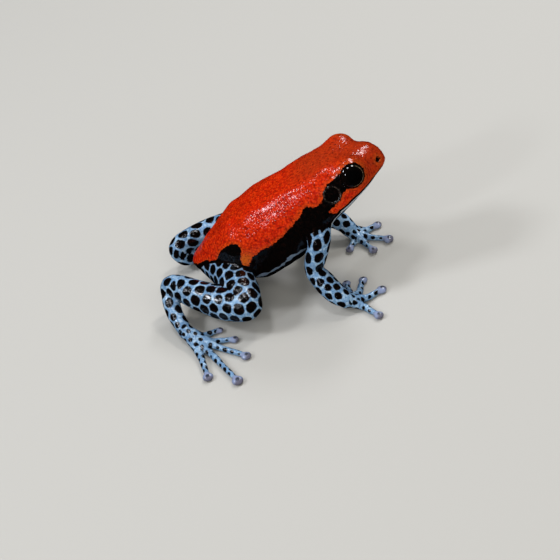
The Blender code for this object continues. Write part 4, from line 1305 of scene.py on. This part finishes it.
def eye_mesh(name, centre, out):
    turn = Vector(out).to_track_quat("Z", "Y").to_matrix()
    tools = bmesh.new()
    bmesh.ops.create_uvsphere(tools, u_segments=EYE_SIDES, v_segments=EYE_RINGS, radius=EYE_RADIUS)
    mesh = bpy.data.meshes.new(name)
    tools.to_mesh(mesh)
    tools.free()
    local = mesh_coordinates(mesh)
    store(mesh, "from_axis", np.where(local[:, 2] > 0, np.hypot(local[:, 0], local[:, 1]), 9.0))
    world = local @ np.array(turn).T + centre
    brightest = np.array(IRIS_BRIGHTEST) @ np.array(directions_at(EYE_CENTRE[0]))
    store(mesh, "ahead_below", (world - centre) @ brightest / EYE_RADIUS)
    mesh.vertices.foreach_set("co", in_metres(world).ravel())
    mesh.shade_smooth()
    return mesh


for side, label in ((1, "left"), (-1, "right")):
    eye = bpy.data.objects.new("eyeball_" + label, eye_mesh("eyeball_" + label, *eye_place(side)))
    bpy.context.scene.collection.objects.link(eye)
    eye.data.materials.append(wet_eye)
    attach(eye, "root")
    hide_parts("eye_" + label)
    print(eye.name, "faces:", len(eye.data.polygons))

# %% [markdown]
# ## Floor, light and camera
# The floor is a plain pale plane in soft studio light. Small windows ahead, above, behind, at the
# right rear and on the left make the highlights on the wet skin, and a large pale wall on the
# right fills the shadows. Floor, sky and wall aren't mirrored, so that wet black stays black. The
# camera stands where the photo was taken from, well above and a little ahead of the frog's right
# side, and is rolled.

# %% Floor
FLOOR_REACH = 1.5           # metres from the frog to each edge
scene = bpy.context.scene
floor_tools = bmesh.new()
bmesh.ops.create_grid(floor_tools, x_segments=1, y_segments=1, size=FLOOR_REACH)
floor_mesh = bpy.data.meshes.new("floor")
floor_tools.to_mesh(floor_mesh)
floor_tools.free()
floor = bpy.data.objects.new("floor", floor_mesh)
scene.collection.objects.link(floor)
floor_material, _, floor_shader = new_material("pale floor", 0.7)
floor_shader.inputs["Base Color"].default_value = colour("#bdb9b0")
floor_mesh.materials.append(floor_material)
floor.visible_glossy = False        # the wet black flank stays black
floor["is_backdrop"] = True
print("floor at height", floor.location.z)

# %% Lamps
LIT_PLACE = Vector((0, 0, 0.004))


def lamp(name, place, size, watts, tint="#ffffff", mirrored=True):
    """Square lamp turned to the frog; one that isn't mirrored makes no highlight on wet skin."""
    light = bpy.data.lights.new(name, "AREA")
    light.size, light.energy, light.color = size, watts, colour(tint)[:3]
    made = bpy.data.objects.new(name, light)
    made.location = place
    made.rotation_mode = "QUATERNION"
    made.rotation_quaternion = (LIT_PLACE - Vector(place)).to_track_quat("-Z", "Y")
    made.visible_glossy = mirrored
    scene.collection.objects.link(made)


lamp("window ahead", (0.0721, 0.0719, 0.1716), 0.034, 0.10)
lamp("window above", (-0.0255, 0.0149, 0.1954), 0.031, 0.09, "#f2f6ff")
lamp("window behind", (-0.136, -0.018, 0.144), 0.034, 0.14, "#eef4ff")
lamp("window at the right rear", (-0.108, -0.125, 0.113), 0.022, 0.06, "#eef4ff")
lamp("window on the left", (0.054, 0.136, 0.134), 0.038, 0.10, "#f2f6ff")
lamp("pale wall on the right", (0.070, -0.200, 0.130), 0.250, 0.33, mirrored=False)

# %% Sky of the studio
SKY_STRENGTH = 0.26
world = bpy.data.worlds.new("studio")
world.use_nodes = True
world.node_tree.nodes["Background"].inputs[0].default_value = colour("#e6ebf0")
world.node_tree.nodes["Background"].inputs[1].default_value = SKY_STRENGTH
world.cycles_visibility.glossy = False        # wet black skin mirrors only the lamps
scene.world = world
scene.view_settings.view_transform = "Standard"
print("sky is mirrored:", world.cycles_visibility.glossy)

# %% Camera
CAMERA_AZIMUTH, CAMERA_ELEVATION, CAMERA_ROLL = 13.501, 37.201, -16.874
CAMERA_DISTANCE, CAMERA_TARGET = 174.986, np.array((6.153, -2.394, 1.318))
azimuth, elevation, tilt = np.radians((CAMERA_AZIMUTH, CAMERA_ELEVATION, CAMERA_ROLL))
back = np.array((math.sin(azimuth) * math.cos(elevation), -math.cos(azimuth) * math.cos(elevation),
                 math.sin(elevation)))
level = np.cross(-back, (0, 0, 1))
level /= np.linalg.norm(level)
upward = np.cross(level, -back)
right_axis = math.cos(tilt) * level + math.sin(tilt) * upward
up_axis = -math.sin(tilt) * level + math.cos(tilt) * upward
camera_data = bpy.data.cameras.new("camera")
camera_data.lens, camera_data.sensor_width = 160, 36
camera_data.clip_start, camera_data.clip_end = 0.005, 10
camera = bpy.data.objects.new("camera", camera_data)
place = in_metres(CAMERA_TARGET + back * CAMERA_DISTANCE)
camera.matrix_world = Matrix((
    (right_axis[0], up_axis[0], back[0], place[0]), (right_axis[1], up_axis[1], back[1], place[1]),
    (right_axis[2], up_axis[2], back[2], place[2]), (0, 0, 0, 1)))
scene.collection.objects.link(camera)
scene.camera = camera
print("camera at mm:", [round(v * 1000, 1) for v in camera.location])

# %% [markdown]
# ## Sizes
# The box round the dressed frog, in millimetres.

low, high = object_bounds()
print("dressed box mm:", [round(v * 1000, 2) for v in high - low])
